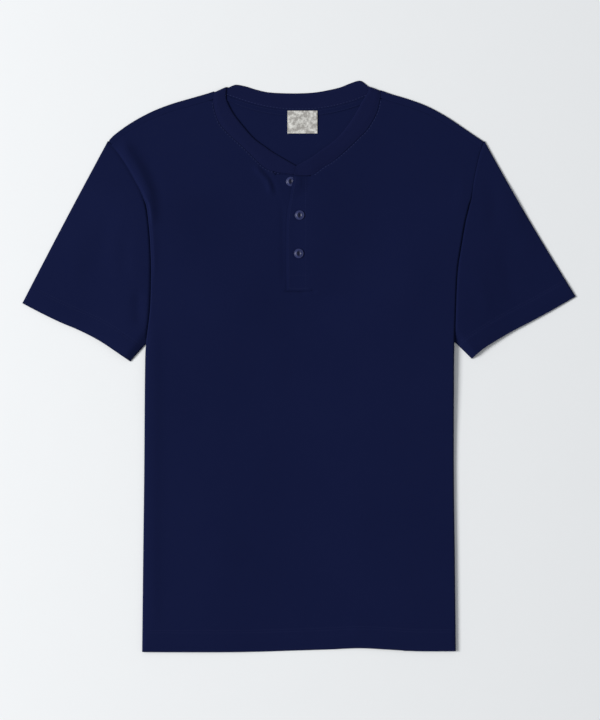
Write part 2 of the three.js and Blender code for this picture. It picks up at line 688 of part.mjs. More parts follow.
// The neckband: up the left front, over at the left fold, round the back, over again, down the right front.
function neckband() {
  const edge = (rows, name, steps, height) =>
    bandEdge(rows, name, steps).map((p) => new THREE.Vector3(p.x, p.y, height(p)));
  const overlap = (p) => {
    const climb = 1 - smoothstep(p.x, BAND_OVERLAP.from, BAND_OVERLAP.to);
    return BAND_FRONT_Z + Math.max(BAND_OVERLAP.lift * climb, edgeRise(p.x, p.y));
  };
  const whole = (name) => {
    const left = edge(BAND_LEFT, name, BAND_STEPS.left, () => BAND_FRONT_Z);
    const back = edge(BAND_BACK, name, BAND_STEPS.back, () => BAND_BACK_Z);
    const right = edge(BAND_RIGHT, name, BAND_STEPS.right, overlap);
    const leftTurn = turnOver(left.at(-1), back[0]);
    const rightTurn = turnOver(back.at(-1), right[0]);
    return [...left, ...leftTurn, ...back, ...rightTurn, ...right];
  };
  const seam = whole("seam");
  const free = whole("free");
  const middle = seam.flatMap((p, i) => [p, free[i]]);
  return thickened(middle, seam.length, 2, BAND);
}

// Half-turn between the front and the back of the band, out past both.
const TURN_FLATNESS = 0.9; // the turn reaches out a little less than a true half circle
function turnOver(from, to) {
  const points = [];
  const centre = from.clone().lerp(to, 0.5);
  for (let i = 1; i < FOLD_STEPS; i++) {
    const angle = (Math.PI * i) / FOLD_STEPS;
    const p = from.clone().lerp(to, i / FOLD_STEPS);
    p.y = Math.max(from.y, to.y) + BAND_FOLD * Math.sin(angle) * TURN_FLATNESS;
    p.z = centre.z + ((from.z - to.z) / 2) * Math.cos(angle);
    points.push(p);
  }
  return points;
}

// A wall on both sides of a grid of middle points, out along their normals.
function thickened(middle, rows, columns, wall) {
  const index = [];
  for (let r = 0; r < rows - 1; r++)
    for (let c = 0; c < columns - 1; c++) {
      const a = r * columns + c;
      index.push(a, a + 1, a + columns + 1, a, a + columns + 1, a + columns);
    }
  const sheet = new THREE.BufferGeometry().setFromPoints(middle);
  sheet.setIndex(index);
  sheet.computeVertexNormals();
  const normal = (i) => new THREE.Vector3().fromBufferAttribute(sheet.attributes.normal, i);
  const top = middle.map((p, i) => p.clone().addScaledVector(normal(i), wall / 2));
  const bottom = middle.map((p, i) => p.clone().addScaledVector(normal(i), -wall / 2));
  return wallOf(top, bottom, rows, columns);
}

// An even grid over a strip's box, with an overhang.
const STRIP_MARGIN = 2;
function evenGrid({ left, right, foot, head }, columns, rows) {
  const grid = [];
  for (let r = 0; r <= rows; r++) {
    const y = lerp(foot - STRIP_MARGIN, head + STRIP_MARGIN, r / rows);
    const row = [];
    for (let c = 0; c <= columns; c++) {
      const x = lerp(left - STRIP_MARGIN, right + STRIP_MARGIN, c / columns);
      row.push(new THREE.Vector2(x, y));
    }
    grid.push(row);
  }
  return grid;
}

const UNDER_STRIP_HEAD = { left: -27, corner: { x: 6, y: 3 } }; // its cut-off corner clears the band
function underStrip() {
  const head = BAND_LEFT[0].seamY - 2 * SEAM_GAP;
  const { left, corner } = UNDER_STRIP_HEAD;
  const outline = [
    new THREE.Vector2(SLOT.left + SEAM_GAP, SLOT.foot + SEAM_GAP),
    new THREE.Vector2(SLOT.right - SEAM_GAP, SLOT.foot + SEAM_GAP),
    new THREE.Vector2(SLOT.right - SEAM_GAP, head - corner.y),
    new THREE.Vector2(SLOT.right - corner.x, head),
    new THREE.Vector2(left, head),
    ...SLOT_SLANT.slice(0, -1)
      .reverse()
      .map((p) => new THREE.Vector2(p.x + SEAM_GAP, p.y)),
  ];
  const box = { left: SLOT_SLANT.at(-1).x, right: SLOT.right, foot: SLOT.foot, head };
  return cutAndLay(evenGrid(box, 4, 9), outline, frontPlace, CLOTH);
}

function topStrip() {
  const outline = [
    new THREE.Vector2(TOP_STRIP.left, TOP_STRIP.foot),
    new THREE.Vector2(TOP_STRIP.right, TOP_STRIP.foot),
    new THREE.Vector2(TOP_STRIP.right, TOP_STRIP.head),
    ...smoothLine([...TOP_STRIP_SLANT].reverse(), 10),
  ];
  return cutAndLay(evenGrid(TOP_STRIP, 8, 18), outline, topStripPlace, CLOTH);
}

function topStripPlace(x, y) {
  const place = frontPlace(x, y);
  place.z += LAYER + edgeRise(x, y);
  return place;
}

// Tape along the back neck seam, and the label that hangs over it.
const TAPE_STEPS = 12;
function neckTape() {
  const middle = [];
  for (let i = 0; i <= TAPE_STEPS; i++) {
    const x = lerp(TAPE.left, TAPE.right, i / TAPE_STEPS);
    const top = backNeckY(x) - SEAM_GAP;
    middle.push(tapePlace(x, top - TAPE.width), tapePlace(x, top));
  }
  return thickened(middle, TAPE_STEPS + 1, 2, TRIM);
}

function tapePlace(x, y) {
  const place = backPlace(x, y);
  place.z += CLOTH / 2 + SEAM_GAP + TRIM / 2;
  return place;
}

const LABEL_ROWS = 6;
const LABEL_RISE = { from: 10, to: 2 }; // it climbs over the tape within this far below it
function label() {
  const middle = [];
  const tapeFoot = BACK_NECK.low - TAPE.width;
  const across = [LABEL.left, (LABEL.left + LABEL.right) / 2, LABEL.right];
  for (let r = 0; r <= LABEL_ROWS; r++) {
    const y = lerp(LABEL.foot, LABEL.head, r / LABEL_ROWS);
    const climb = smoothstep(y, tapeFoot - LABEL_RISE.from, tapeFoot - LABEL_RISE.to);
    for (const x of across) {
      const place = tapePlace(x, y);
      place.z += (TRIM + SEAM_GAP) * climb;
      middle.push(place);
    }
  }
  return thickened(middle, LABEL_ROWS + 1, across.length, TRIM);
}

// A dished button with a raised rim and two holes.
function button({ x, y, fastened }) {
  const seat = fastened ? topStripPlace(x, y) : frontPlace(x, y);
  const base = seat.z + CLOTH / 2 + SEAM_GAP;
  const { holeRadius, holeSpacing, height } = BUTTON;
  const profile = [
    [0, 0],
    [BUTTON.footRadius, 0],
    [BUTTON.radius, BUTTON.widestHeight],
    [BUTTON.shoulderRadius, BUTTON.shoulderHeight],
    [BUTTON.rimRadius, height],
    [BUTTON.rimInnerRadius, BUTTON.rimInnerHeight],
    [BUTTON.dishRadius, BUTTON.dishHeight],
    [0, BUTTON.dishHeight],
  ].map(([r, z]) => new THREE.Vector2(r, z));
  let solid = solidFrom(new THREE.LatheGeometry(profile, BUTTON.sides).rotateX(Math.PI / 2));
  for (const sign of [-1, 1]) {
    const hole = new THREE.CylinderGeometry(holeRadius, holeRadius, 4 * height, BUTTON.holeSides);
    hole.rotateX(Math.PI / 2).translate(0, (sign * holeSpacing) / 2, 0);
    solid = solid.subtract(solidFrom(hole));
  }
  return geometryFrom(solid).translate(x, y, base);
}

const shirt = new THREE.Group();
function add(name, geometry, finish) {
  const mesh = new THREE.Mesh(
    geometry,
    new THREE.MeshStandardMaterial({ ...MATERIALS[finish], metalness: 0 }),
  );
  mesh.name = name;
  shirt.add(mesh);
}

add("back_panel", backPanel(), "body");
add("front_panel", frontPanel(), "body");
add("sleeve_left", sleeve("left"), "body");
add("sleeve_right", sleeve("right"), "body");
add("neckband", neckband(), "rib");
add("placket_under", underStrip(), "body");
add("placket_top", topStrip(), "body");
add("neck_tape", neckTape(), "tape");
add("neck_label", label(), "label");
for (const row of BUTTONS) add(row.name, button(row), "button");

export default shirt;
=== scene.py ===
"""A navy henley shirt laid flat on a pale surface, seen from straight above.

Lengths inside the classes are in millimetres, as on a tailor's drawing; they become metres when a
mesh is written. +X is to the right seen from above, +Y runs from the hem to the neck, +Z is up.
"""

import logging
import math
from dataclasses import dataclass, field
from enum import Enum
from typing import Callable, Sequence

import bpy
import numpy as np
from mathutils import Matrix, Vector


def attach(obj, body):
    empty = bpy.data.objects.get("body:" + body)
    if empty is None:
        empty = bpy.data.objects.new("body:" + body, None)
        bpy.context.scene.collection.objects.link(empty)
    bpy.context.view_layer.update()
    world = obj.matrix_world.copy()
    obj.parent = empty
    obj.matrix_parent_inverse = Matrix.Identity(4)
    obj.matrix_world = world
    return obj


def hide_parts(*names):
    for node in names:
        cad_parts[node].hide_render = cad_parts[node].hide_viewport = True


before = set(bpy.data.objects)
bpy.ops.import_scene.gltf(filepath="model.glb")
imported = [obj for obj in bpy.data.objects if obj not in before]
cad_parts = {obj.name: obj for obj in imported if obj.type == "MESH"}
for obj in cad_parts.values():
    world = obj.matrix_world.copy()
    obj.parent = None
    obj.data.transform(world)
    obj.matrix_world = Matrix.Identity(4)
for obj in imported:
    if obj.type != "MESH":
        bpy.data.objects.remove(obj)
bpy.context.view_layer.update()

METRE = 0.001
BODY = "root"
SMOOTH_ANGLE = math.radians(50)

log = logging.getLogger("henley")
Points = np.ndarray
Span = tuple[float, float]
Window = tuple[float, float, float, float]
Table = tuple[tuple[float, ...], ...]
Materials = dict[str, bpy.types.Material]
Place = Callable[[np.ndarray, np.ndarray], np.ndarray]


class Slot(Enum):
    """Material slots of the record."""

    JERSEY = "jersey"
    RIB = "neck_rib"
    TAPE = "tape"
    LABEL = "label"
    BUTTON = "button"


class Hold(Enum):
    """Ways in which a sheet of cloth is held."""

    LAID = "laid"
    FOLDED = "folded"


# Curves and small maths


def smoothstep(value: np.ndarray, low: float, high: float) -> np.ndarray:
    """Smooth step from 0 at low to 1 at high.

    Args:
        value: Where to read the step.
        low: Value at which it starts.
        high: Value at which it ends.

    Returns:
        The step, from 0 to 1.
    """
    t = np.clip((np.asarray(value, float) - low) / (high - low), 0.0, 1.0)
    return t * t * (3 - 2 * t)


def lerp(a: np.ndarray, b: np.ndarray, t: np.ndarray) -> np.ndarray:
    """Straight blend from a to b.

    Args:
        a: Value at t = 0.
        b: Value at t = 1.
        t: Share of b.

    Returns:
        The blend.
    """
    return a + (b - a) * t


def window(value: np.ndarray, start: float, full: float, fading: float, end: float) -> np.ndarray:
    """Smooth step up and down again.

    Args:
        value: Where to read it.
        start: Value at which it leaves 0.
        full: Value at which it reaches 1.
        fading: Value at which it leaves 1.
        end: Value at which it is back at 0.

    Returns:
        The share, from 0 to 1.
    """
    return smoothstep(value, start, full) * (1 - smoothstep(value, fading, end))


def spline(points: Sequence[Sequence[float]], steps: int) -> Points:
    """Smooth line through points.

    Args:
        points: Points that the line passes through.
        steps: How many stretches the line has.

    Returns:
        steps + 1 points along it.
    """
    p = np.asarray(points, float)
    last = len(p) - 1
    place = np.linspace(0, last, steps + 1)
    k = np.minimum(place.astype(int), last - 1)
    t = (place - k)[:, None]
    p0, p1 = p[np.maximum(k - 1, 0)], p[k]
    p2, p3 = p[np.minimum(k + 1, last)], p[np.minimum(k + 2, last)]
    v0, v1 = (p2 - p0) / 2, (p3 - p1) / 2
    return (2 * p1 - 2 * p2 + v0 + v1) * t**3 + (3 * p2 - 3 * p1 - 2 * v0 - v1) * t**2 + v0 * t + p1


def evenly(points: Points, steps: int) -> Points:
    """Points at even distances along a polyline.

    Args:
        points: The polyline.
        steps: How many even stretches.

    Returns:
        steps + 1 points.
    """
    run = np.concatenate([[0], np.cumsum(np.linalg.norm(np.diff(points, axis=0), axis=1))])
    at = np.linspace(0, run[-1], steps + 1)
    return np.stack([np.interp(at, run, points[:, i]) for i in range(points.shape[1])], axis=1)


class Curve:
    """Smooth value of one column of a table against another that rises row by row."""

    def __init__(self, places: Sequence[float], values: Sequence[float]) -> None:
        """Works out the slope at each place.

        Args:
            places: Rising places.
            values: Value at each place.
        """
        self.places = np.asarray(places, float)
        self.values = np.asarray(values, float)
        index = np.arange(len(self.places))
        before, after = np.maximum(index - 1, 0), np.minimum(index + 1, len(index) - 1)
        self.slopes = (self.values[after] - self.values[before]) / (self.places[after] - self.places[before])

    def __call__(self, place: np.ndarray) -> np.ndarray:
        """Reads the curve.

        Args:
            place: Where to read the curve; it is clamped to the table.

        Returns:
            The value there.
        """
        clamped = np.clip(np.asarray(place, float), self.places[0], self.places[-1])
        k = np.clip(np.searchsorted(self.places, clamped), 1, len(self.places) - 1)
        span = self.places[k] - self.places[k - 1]
        t = (clamped - self.places[k - 1]) / span
        keep = (2 * t - 3) * t * t + 1
        ease_out = ((t - 2) * t + 1) * t * span * self.slopes[k - 1]
        ease_in = (t - 1) * t * t * span * self.slopes[k]
        return keep * self.values[k - 1] + (1 - keep) * self.values[k] + ease_out + ease_in


@dataclass(frozen=True)
class Crease:
    """A soft ridge or trough along a given line.

    Attributes:
        line: Points of its line, millimetres.
        width: Half of its width.
        height: Height in the middle; negative for a trough.
        fade: Share of its length over which each end fades out.
    """

    line: tuple[tuple[float, float], ...]
    width: float
    height: float
    fade: float = 0.35

    def __call__(self, x: np.ndarray, y: np.ndarray) -> np.ndarray:
        """Reads how high the crease stands.

        Args:
            x: Places across.
            y: Places along.

        Returns:
            The crease's height at each place.
        """
        points = spline(self.line, 6 * (len(self.line) - 1))
        run = np.concatenate([[0], np.cumsum(np.linalg.norm(np.diff(points, axis=0), axis=1))])
        best = np.full(np.shape(x), np.inf)
        along = np.zeros(np.shape(x))
        for i in range(len(points) - 1):
            a, d = points[i], points[i + 1] - points[i]
            t = np.clip(((x - a[0]) * d[0] + (y - a[1]) * d[1]) / (d @ d), 0, 1)
            away = np.hypot(x - a[0] - t * d[0], y - a[1] - t * d[1])
            nearer = away < best
            best = np.where(nearer, away, best)
            along = np.where(nearer, (run[i] + t * np.hypot(*d)) / run[-1], along)
        ends = smoothstep(np.minimum(along, 1 - along), -0.02, self.fade)
        return self.height * ends * np.exp(-((best / self.width) ** 2))


# The shirt's shape, from the same named sizes as the solids


class Side(Enum):
    """Side of the shirt seen from above; the value is its sign along X."""

    LEFT = -1
    RIGHT = 1


@dataclass(frozen=True)
class Layer:
    """One of the two layers of the body.

    Attributes:
        radius: Radius of its side fold.
        tuck_slope: Width over which it rises onto the turned-under sides.
        sleeve_slope: Width over which it rises onto the sleeves.
        fold_lines: How many lines divide its side fold.
        fine: Whether it is divided more finely round the placket and the hem.
    """

    radius: float
    tuck_slope: float
    sleeve_slope: float
    fold_lines: int
    fine: bool


@dataclass
class ShirtShape:
    """Named sizes of the shirt, in millimetres, and the places at which its cloth lies."""

    # Wall of the cloth, gap at a seam and the step from the middle of one layer to the next
    cloth: float = 1.0
    wall: float = 0.8
    seam_gap: float = 0.3
    layer_step: float = 1.1
    floor_layer: float = cloth / 2
    back_fold: float = layer_step / 2
    front_fold: float = back_fold + layer_step
    fold_height: float = floor_layer + front_fold
    fold_reach: float = front_fold + cloth / 2
    tuck_lift: float = 2 * layer_step
    sleeve_lift: float = 2 * layer_step

    # Turned-under sides, armholes and hem
    underarm_y: float = 80.0
    seam_at_hem: float = 63.0
    seam_at_underarm: float = 58.0
    fold_start_y: float = 190.0
    fold_fade: float = 22.0
    tuck_clear: float = 1.0
    tuck_fade: Span = (2.0, 42.0)
    sleeve_fade: Span = (6.0, 54.0)
    forward_seam: float = 10.0
    sleeve_margin: float = 9.0
    shoulder_tip_y: float = 281.0
    relief_margin: float = 3.0
    hem_depth: float = 24.0
    hem_step: float = 0.35
    hem_blend: float = 2.0
    hem_roll: float = 0.5
    hem_round: float = 9.0

    # Height up the shirt, left edge, right edge
    body_edge: Table = (
        (-357, 196.3, 196.2), (-241, 195.0, 195.0), (-141, 193.8, 193.8), (-4, 192.5, 193.8),
        (26, 191.5, 194.2), (71, 186.4, 195.6), (120, 185.0, 197.8), (155, 186.2, 203.0),
        (181, 188.4, 207.5), (201, 191.2, 212.3), (217, 196.4, 215.5), (235, 206.0, 218.5),
        (251, 215.0, 221.8), (270, 228.0, 226.5), (281, 238.0, 231.0), (300, 252.0, 242.0),
    )
    # Height up the shirt, width turned under
    hidden_armhole: Table = ((80, 58), (97, 38), (122, 22), (155, 9), (190, 0))
    # Distance out from the centre, height of the left and of the right shoulder
    shoulder_line: Table = (
        (0, 352, 352), (60, 350, 350.5), (101, 345.5, 345.5), (114, 341.5, 341.2), (136, 335.2, 334.6),
        (161, 327.8, 325.2), (186, 317.8, 311.5), (211, 304.0, 294.6), (231, 289.5, 281.2),
        (238, 282.5, 277.0), (262, 262.0, 262.0),
    )
    # Place across, height of the hem
    hem_line: Table = (
        (-200, -357.0), (-70, -357.0), (0, -355.2), (40, -353.8), (76, -352.2), (112, -353.9),
        (145, -355.8), (200, -356.0),
    )

    # Neckline, slot for the placket, its strips and the buttons
    neck_half_width: float = 85.0
    neck_low: float = 320.0
    neck_rise: float = 17.0
    slot_left: float = -15.2
    slot_right: float = 14.8
    slot_foot: float = 97.0
    slot_slant: Table = ((-15.2, 196), (-18.8, 217.5), (-24, 231), (-31, 241.5))
    button_radius: float = 6.0
    top_button: Span = (-10.2, 231.0)
    button_seats: Table = ((0.8, 189.0), (-0.2, 141.0))
    seat_depth: float = 0.45
    seat_flat: float = 4.5
    seat_reach: float = 9.0
    rise_reach: float = 24.0
    rise_height: float = 2.0
    strip_lap: float = 0.82
    strip_full: float = 0.35
    strip_edge: Span = (-0.5, 4.0)
    strip_foot: Span = (-0.3, 3.0)
    strip_rise: float = 0.5
    strip_sink: float = 0.3
    strip_sunk: Span = (6.0, 12.0)

    # Place of each cuff, out from the centre line and up
    cuff_line: dict[Side, Table] = field(
        default_factory=lambda: {
            Side.LEFT: (
                (346.2, 79), (324, 67.3), (299, 55.2), (274, 44.6), (249, 31.6), (224, 15), (211, 6),
            ),
            Side.RIGHT: (
                (346.2, 87.5), (314, 69), (289, 55.6), (264, 42.4), (239, 27.6), (226, 18.6), (216, 9.4),
            ),
        }
    )

    front_layer: Layer = Layer(front_fold, 125.0, 110.0, 14, True)
    back_layer: Layer = Layer(back_fold, 48.0, 42.0, 10, False)

    front_creases: tuple[Crease, ...] = (
        Crease(
            ((-224, 284), (-213, 264), (-200.5, 244), (-190.5, 221), (-187, 202), (-184, 172)), 8.5, 2.7, 0.16
        ),
        Crease(((-186, 190), (-184, 150), (-185, 100)), 7.0, 0.9, 0.35),
        Crease(((-198, 284), (-188, 250), (-176, 215), (-170, 180)), 10.0, -0.5, 0.4),
        Crease(((-58, 252), (-49, 243), (-40, 233), (-36.5, 224), (-33, 212)), 3.9, 1.35, 0.25),
        Crease(((-52, 254), (-43, 243), (-34.5, 233), (-30, 222), (-28, 210)), 2.8, -0.5, 0.4),
        Crease(((-19, 100), (-19, 130), (-20, 168), (-20, 205)), 3.4, -0.35, 0.15),
        Crease(((-20, 60), (-30, 0), (-24, -70)), 16.0, 0.35, 0.5),
        Crease(((-66, 200), (-62, 120), (-58, 40)), 60.0, 2.4, 0.5),
        Crease(((120, 210), (134, 150), (140, 80)), 22.0, 0.35, 0.5),
        Crease(((60, -120), (80, -210), (76, -300)), 24.0, 0.4, 0.5),
        Crease(((-90, -150), (-100, -240), (-92, -320)), 22.0, 0.4, 0.5),
        Crease(((76, -346), (74, -330), (70, -300)), 10.0, 0.4, 0.4),
        Crease(((-181, 60), (-182, -140), (-183, -340)), 9.0, 0.7, 0.1),
        Crease(((206, 250), (203, 214), (196, 180)), 8.0, 0.4, 0.4),
    )

    def __post_init__(self) -> None:
        """Prepares the curves of the tables."""
        edge = np.array(self.body_edge)
        top = np.array(self.shoulder_line)
        self.edge = {Side.LEFT: Curve(edge[:, 0], edge[:, 1]), Side.RIGHT: Curve(edge[:, 0], edge[:, 2])}
        self.top = {Side.LEFT: Curve(top[:, 0], top[:, 1]), Side.RIGHT: Curve(top[:, 0], top[:, 2])}
        self.hidden = Curve(*zip(*self.hidden_armhole))
        self.hem = Curve(*zip(*self.hem_line))
        self.hem_bottom = self.hem_line[0][1]

    def by_side(self, x: np.ndarray, value: Callable[[Side], np.ndarray]) -> np.ndarray:
        """Reads a value on the side on which each place lies.

        Args:
            x: Places across.
            value: What to read for one side.

        Returns:
            The left side's value where x is negative and the right side's elsewhere.
        """
        return np.where(np.asarray(x) < 0, value(Side.LEFT), value(Side.RIGHT))

    def tuck(self, y: np.ndarray) -> np.ndarray:
        """Reads how far the cloth is turned under.

        Args:
            y: Heights up the shirt.

        Returns:
            How far the cloth is turned under there.
        """
        down = (self.underarm_y - y) / (self.underarm_y - self.hem_bottom)
        low = lerp(self.seam_at_underarm, self.seam_at_hem, down)
        high = np.where(y < self.fold_start_y, self.hidden(y), 0)
        return np.where(y < self.underarm_y, low, high)

    def turn(self, y: np.ndarray) -> np.ndarray:
        """Reads how far the side has turned over.

        Args:
            y: Heights up the shirt.

        Returns:
            Angle through which the side has turned over.
        """
        return np.pi * (1 - smoothstep(y, self.fold_start_y, self.fold_start_y + self.fold_fade))

    def fold_centre(self, side: Side, y: np.ndarray) -> np.ndarray:
        """Reads where the side fold lies.

        Args:
            side: Which side.
            y: Heights up the shirt.

        Returns:
            Distance from the centre line to the middle of the side fold.
        """
        return self.edge[side](y) - self.fold_reach * np.sin(np.minimum(self.turn(y), np.pi / 2))

    def shoulder_fold(self, side: Side, x: np.ndarray) -> np.ndarray:
        """Reads where the back turns forward over the shoulder.

        Args:
            side: Which side.
            x: Distances out from the centre line.

        Returns:
            Height at which the back turns forward over the shoulder.
        """
        return self.top[side](x) - self.cloth / 2 - self.back_fold

    def back_neck(self, x: np.ndarray) -> np.ndarray:
        """Reads the back neckline.

        Args:
            x: Places across.

        Returns:
            Height of the back neckline there.
        """
        return self.neck_low + self.neck_rise * (x / self.neck_half_width) ** 2 - self.seam_gap

    def _raised_by_tuck(self, side: Side, out: np.ndarray, y: np.ndarray, slope: float) -> np.ndarray:
        """Reads the share of the rise over the turned-under cloth.

        Args:
            side: Which side.
            out: Distances out from the centre line.
            y: Heights up the shirt.
            slope: Width over which it rises.

        Returns:
            The share, from 0 to 1.
        """
        inner = self.fold_centre(side, y) - self.tuck(y) - self.tuck_clear
        beside = 1 - smoothstep(inner - out, 0, slope)
        return beside * (1 - smoothstep(y - self.fold_start_y, *self.tuck_fade))

    def _raised_by_sleeve(self, side: Side, out: np.ndarray, y: np.ndarray, slope: float) -> np.ndarray:
        """Reads the share of the rise over the sleeve.

        Args:
            side: Which side.
            out: Distances out from the centre line.
            y: Heights up the shirt.
            slope: Width over which it rises.

        Returns:
            The share, from 0 to 1.
        """
        low = np.maximum(y, self.underarm_y)
        armhole = self.fold_centre(side, low) - self.tuck(low)
        corner = self.cuff_line[side][-1]
        tip = self.fold_centre(side, np.float64(self.underarm_y)) - self.seam_at_underarm
        dx, dy = corner[0] - tip, corner[1] - self.underarm_y
        above = (dx * (y - self.underarm_y) - dy * (out - tip)) / math.hypot(dx, dy)
        inside = np.minimum(out - armhole, above) + self.sleeve_margin
        fade = 1 - smoothstep(y - self.fold_start_y, *self.sleeve_fade)
        return smoothstep(inside, -slope, 0) * fade

    def body(self, x: np.ndarray, y: np.ndarray, layer: Layer) -> Points:
        """Middle of a body panel: level, round the side fold, then under.

        Args:
            x: Pattern places across.
            y: Pattern places along.
            layer: Which of the two body layers it is.

        Returns:
            Points in millimetres.
        """
        x, y = np.asarray(x, float), np.asarray(y, float)
        centre = self.by_side(x, lambda s: self.fold_centre(s, y))
        past = np.abs(x) - centre
        radius = layer.radius
        angle = np.clip(past / radius, 0, np.pi)
        under = np.maximum(0, past - np.pi * radius)
        out = np.minimum(np.abs(x), centre) + radius * np.sin(angle) - under
        lift = self.sleeve_lift * self.by_side(
            x, lambda s: self._raised_by_sleeve(s, out, y, layer.sleeve_slope)
        )
        raised = self.by_side(x, lambda s: self._raised_by_tuck(s, out, y, layer.tuck_slope))
        drop = np.where(under > 0, 0, self.tuck_lift * (1 - raised))
        z = self.fold_height + radius * np.cos(angle) - drop + lift
        return np.stack([np.where(x < 0, -out, out), y, z], axis=-1)

    def front_relief(self, x: np.ndarray, y: np.ndarray) -> np.ndarray:
        """Adds up the soft relief of the front.

        Args:
            x: Places across, as seen.
            y: Places along.

        Returns:
            Soft relief of the front above its even form.
        """
        above = y - self.hem(x)
        total = self.hem_step * (1 - smoothstep(above - self.hem_depth, -self.hem_blend, self.hem_blend))
        total = total - self.hem_roll * (1 - smoothstep(above, 0, self.hem_round))
        for crease in self.front_creases:
            total = total + crease(x, y)
        return total

    def front(self, x: np.ndarray, y: np.ndarray) -> Points:
        """Lays the front panel.

        Args:
            x: Pattern places across.
            y: Pattern places along.

        Returns:
            Middle of the front panel.
        """
        points = self.body(x, y, self.front_layer)
        centre = self.by_side(x, lambda s: self.fold_centre(s, y))
        shown = 1 - smoothstep(np.abs(x) - centre, -self.relief_margin, 0)
        points[..., 2] += shown * self.front_relief(points[..., 0], points[..., 1])
        return points

    def back(self, x: np.ndarray, y: np.ndarray) -> Points:
        """Lays the back panel.

        Args:
            x: Pattern places across.
            y: Pattern places along.

        Returns:
            Middle of the back panel, which also turns forward over the shoulders.
        """
        x, y = np.asarray(x, float), np.asarray(y, float)
        fold = self.by_side(x, lambda s: self.shoulder_fold(s, np.abs(x)))
        past = y - fold
        points = self.body(x, np.minimum(y, fold), self.back_layer)
        angle = np.clip(past / self.back_fold, 0, np.pi)
        beyond = np.maximum(0, past - np.pi * self.back_fold)
        over = past > 0
        points[..., 1] = np.where(over, fold + self.back_fold * np.sin(angle) - beyond, y)
        points[..., 2] += np.where(over, self.back_fold * (1 - np.cos(angle)), 0)
        return points

    def edge_rise(self, x: np.ndarray, y: np.ndarray) -> np.ndarray:
        """Reads how the cloth rises over the top button.

        Args:
            x: Places across.
            y: Places along.

        Returns:
            Rise of the cloth that passes over the top button.
        """
        away = np.hypot(x - self.top_button[0], y - self.top_button[1])
        return self.rise_height * (1 - smoothstep(away, self.button_radius, self.rise_reach))

    def under_strip(self, x: np.ndarray, y: np.ndarray) -> Points:
        """Lays the placket's under strip.

        Args:
            x: Places across.
            y: Places along.

        Returns:
            Middle of the placket's under strip, whose hidden edge sinks a little.
        """
        points = self.front(x, y)
        points[..., 2] -= self.strip_sink * smoothstep(x, *self.strip_sunk)
        return points

    def top_strip(self, x: np.ndarray, y: np.ndarray, left: np.ndarray, right: float, foot: float) -> Points:
        """Lays the placket's top strip.

        Args:
            x: Places across.
            y: Places along.
            left: Place of the strip's left edge at each height.
            right: Place of its right edge.
            foot: Height of its foot.

        Returns:
            Middle of the placket's top strip, softly rounded at its edges.
        """
        points = self.front(x, y)
        full = smoothstep(x - left, *self.strip_edge) * smoothstep(y - foot, *self.strip_foot)
        rise = smoothstep(x, self.slot_left / 2, right)
        points[..., 2] += self.strip_lap + self.strip_full * full + self.strip_rise * rise
        for seat_x, seat_y in self.button_seats:
            away = np.hypot(x - seat_x, y - seat_y)
            points[..., 2] -= self.seat_depth * (1 - smoothstep(away, self.seat_flat, self.seat_reach))
        points[..., 2] += self.edge_rise(x, y)
        return points


# Modelling


class Bench:
    """Modelling steps on one active mesh."""

    def __init__(self, obj: bpy.types.Object) -> None:
        """Takes a mesh to work on.

        Args:
            obj: The mesh to work on.
        """
        self.obj = obj

    def activate(self) -> "Bench":
        """Makes the mesh the only selected and the active one.

        Returns:
            The bench.
        """
        bpy.ops.object.select_all(action="DESELECT")
        self.obj.select_set(True)
        bpy.context.view_layer.objects.active = self.obj
        return self

    def points(self) -> Points:
        """Returns: the mesh's points, in its own units."""
        found = np.zeros(len(self.obj.data.vertices) * 3)
        self.obj.data.vertices.foreach_get("co", found)
        return found.reshape(-1, 3)

    def move_points(self, points: Points) -> "Bench":
        """Moves every point of the mesh.

        Args:
            points: New place of each point.

        Returns:
            The bench.
        """
        self.obj.data.vertices.foreach_set("co", np.asarray(points, float).ravel())
        self.obj.data.update()
        return self

    def write_pattern(self, pattern: Points) -> "Bench":
        """Stores each point's place on the flat cloth as the mesh's UV map, in metres.

        Args:
            pattern: Flat place of each point, millimetres.

        Returns:
            The bench.
        """
        mesh = self.obj.data
        layer = mesh.uv_layers.get("Pattern") or mesh.uv_layers.new(name="Pattern")
        corner = np.zeros(len(mesh.loops), int)
        mesh.loops.foreach_get("vertex_index", corner)
        layer.data.foreach_set("uv", (np.asarray(pattern)[corner] * METRE).ravel())
        return self

    def edit(self, *steps: Callable[[], object]) -> "Bench":
        """Runs steps in edit mode on everything.

        Args:
            steps: Calls without arguments.

        Returns:
            The bench.
        """
        self.activate()
        bpy.ops.object.mode_set(mode="EDIT")
        for step in steps:
            bpy.ops.mesh.select_all(action="SELECT")
            step()
        bpy.ops.object.mode_set(mode="OBJECT")
        return self

    def modify(self, kind: str, **settings: object) -> "Bench":
        """Adds one modifier and applies it.

        Args:
            kind: Type of the modifier.
            settings: Its settings.

        Returns:
            The bench.
        """
        self.activate()
        modifier = self.obj.modifiers.new(kind.lower(), kind)
        for name, value in settings.items():
            setattr(modifier, name, value)
        bpy.ops.object.modifier_apply(modifier=modifier.name)
        return self

    def thicken(self, wall: float) -> "Bench":
        """Gives an open sheet a wall on both sides of its middle.

        Args:
            wall: Its thickness, millimetres.

        Returns:
            The bench.
        """
        return self.modify("SOLIDIFY", thickness=wall * METRE, offset=0.0, use_rim=True, use_even_offset=False)

    def close(self) -> "Bench":
        """Turns every face outward and shades the mesh smooth.

        Returns:
            The bench.
        """
        self.edit(lambda: bpy.ops.mesh.normals_make_consistent(inside=False))
        self.activate()
        bpy.ops.object.shade_smooth_by_angle(angle=SMOOTH_ANGLE)
        return self

    def area(self) -> float:
        """Returns: the mesh's surface, square metres."""
        return sum(face.area for face in self.obj.data.polygons)


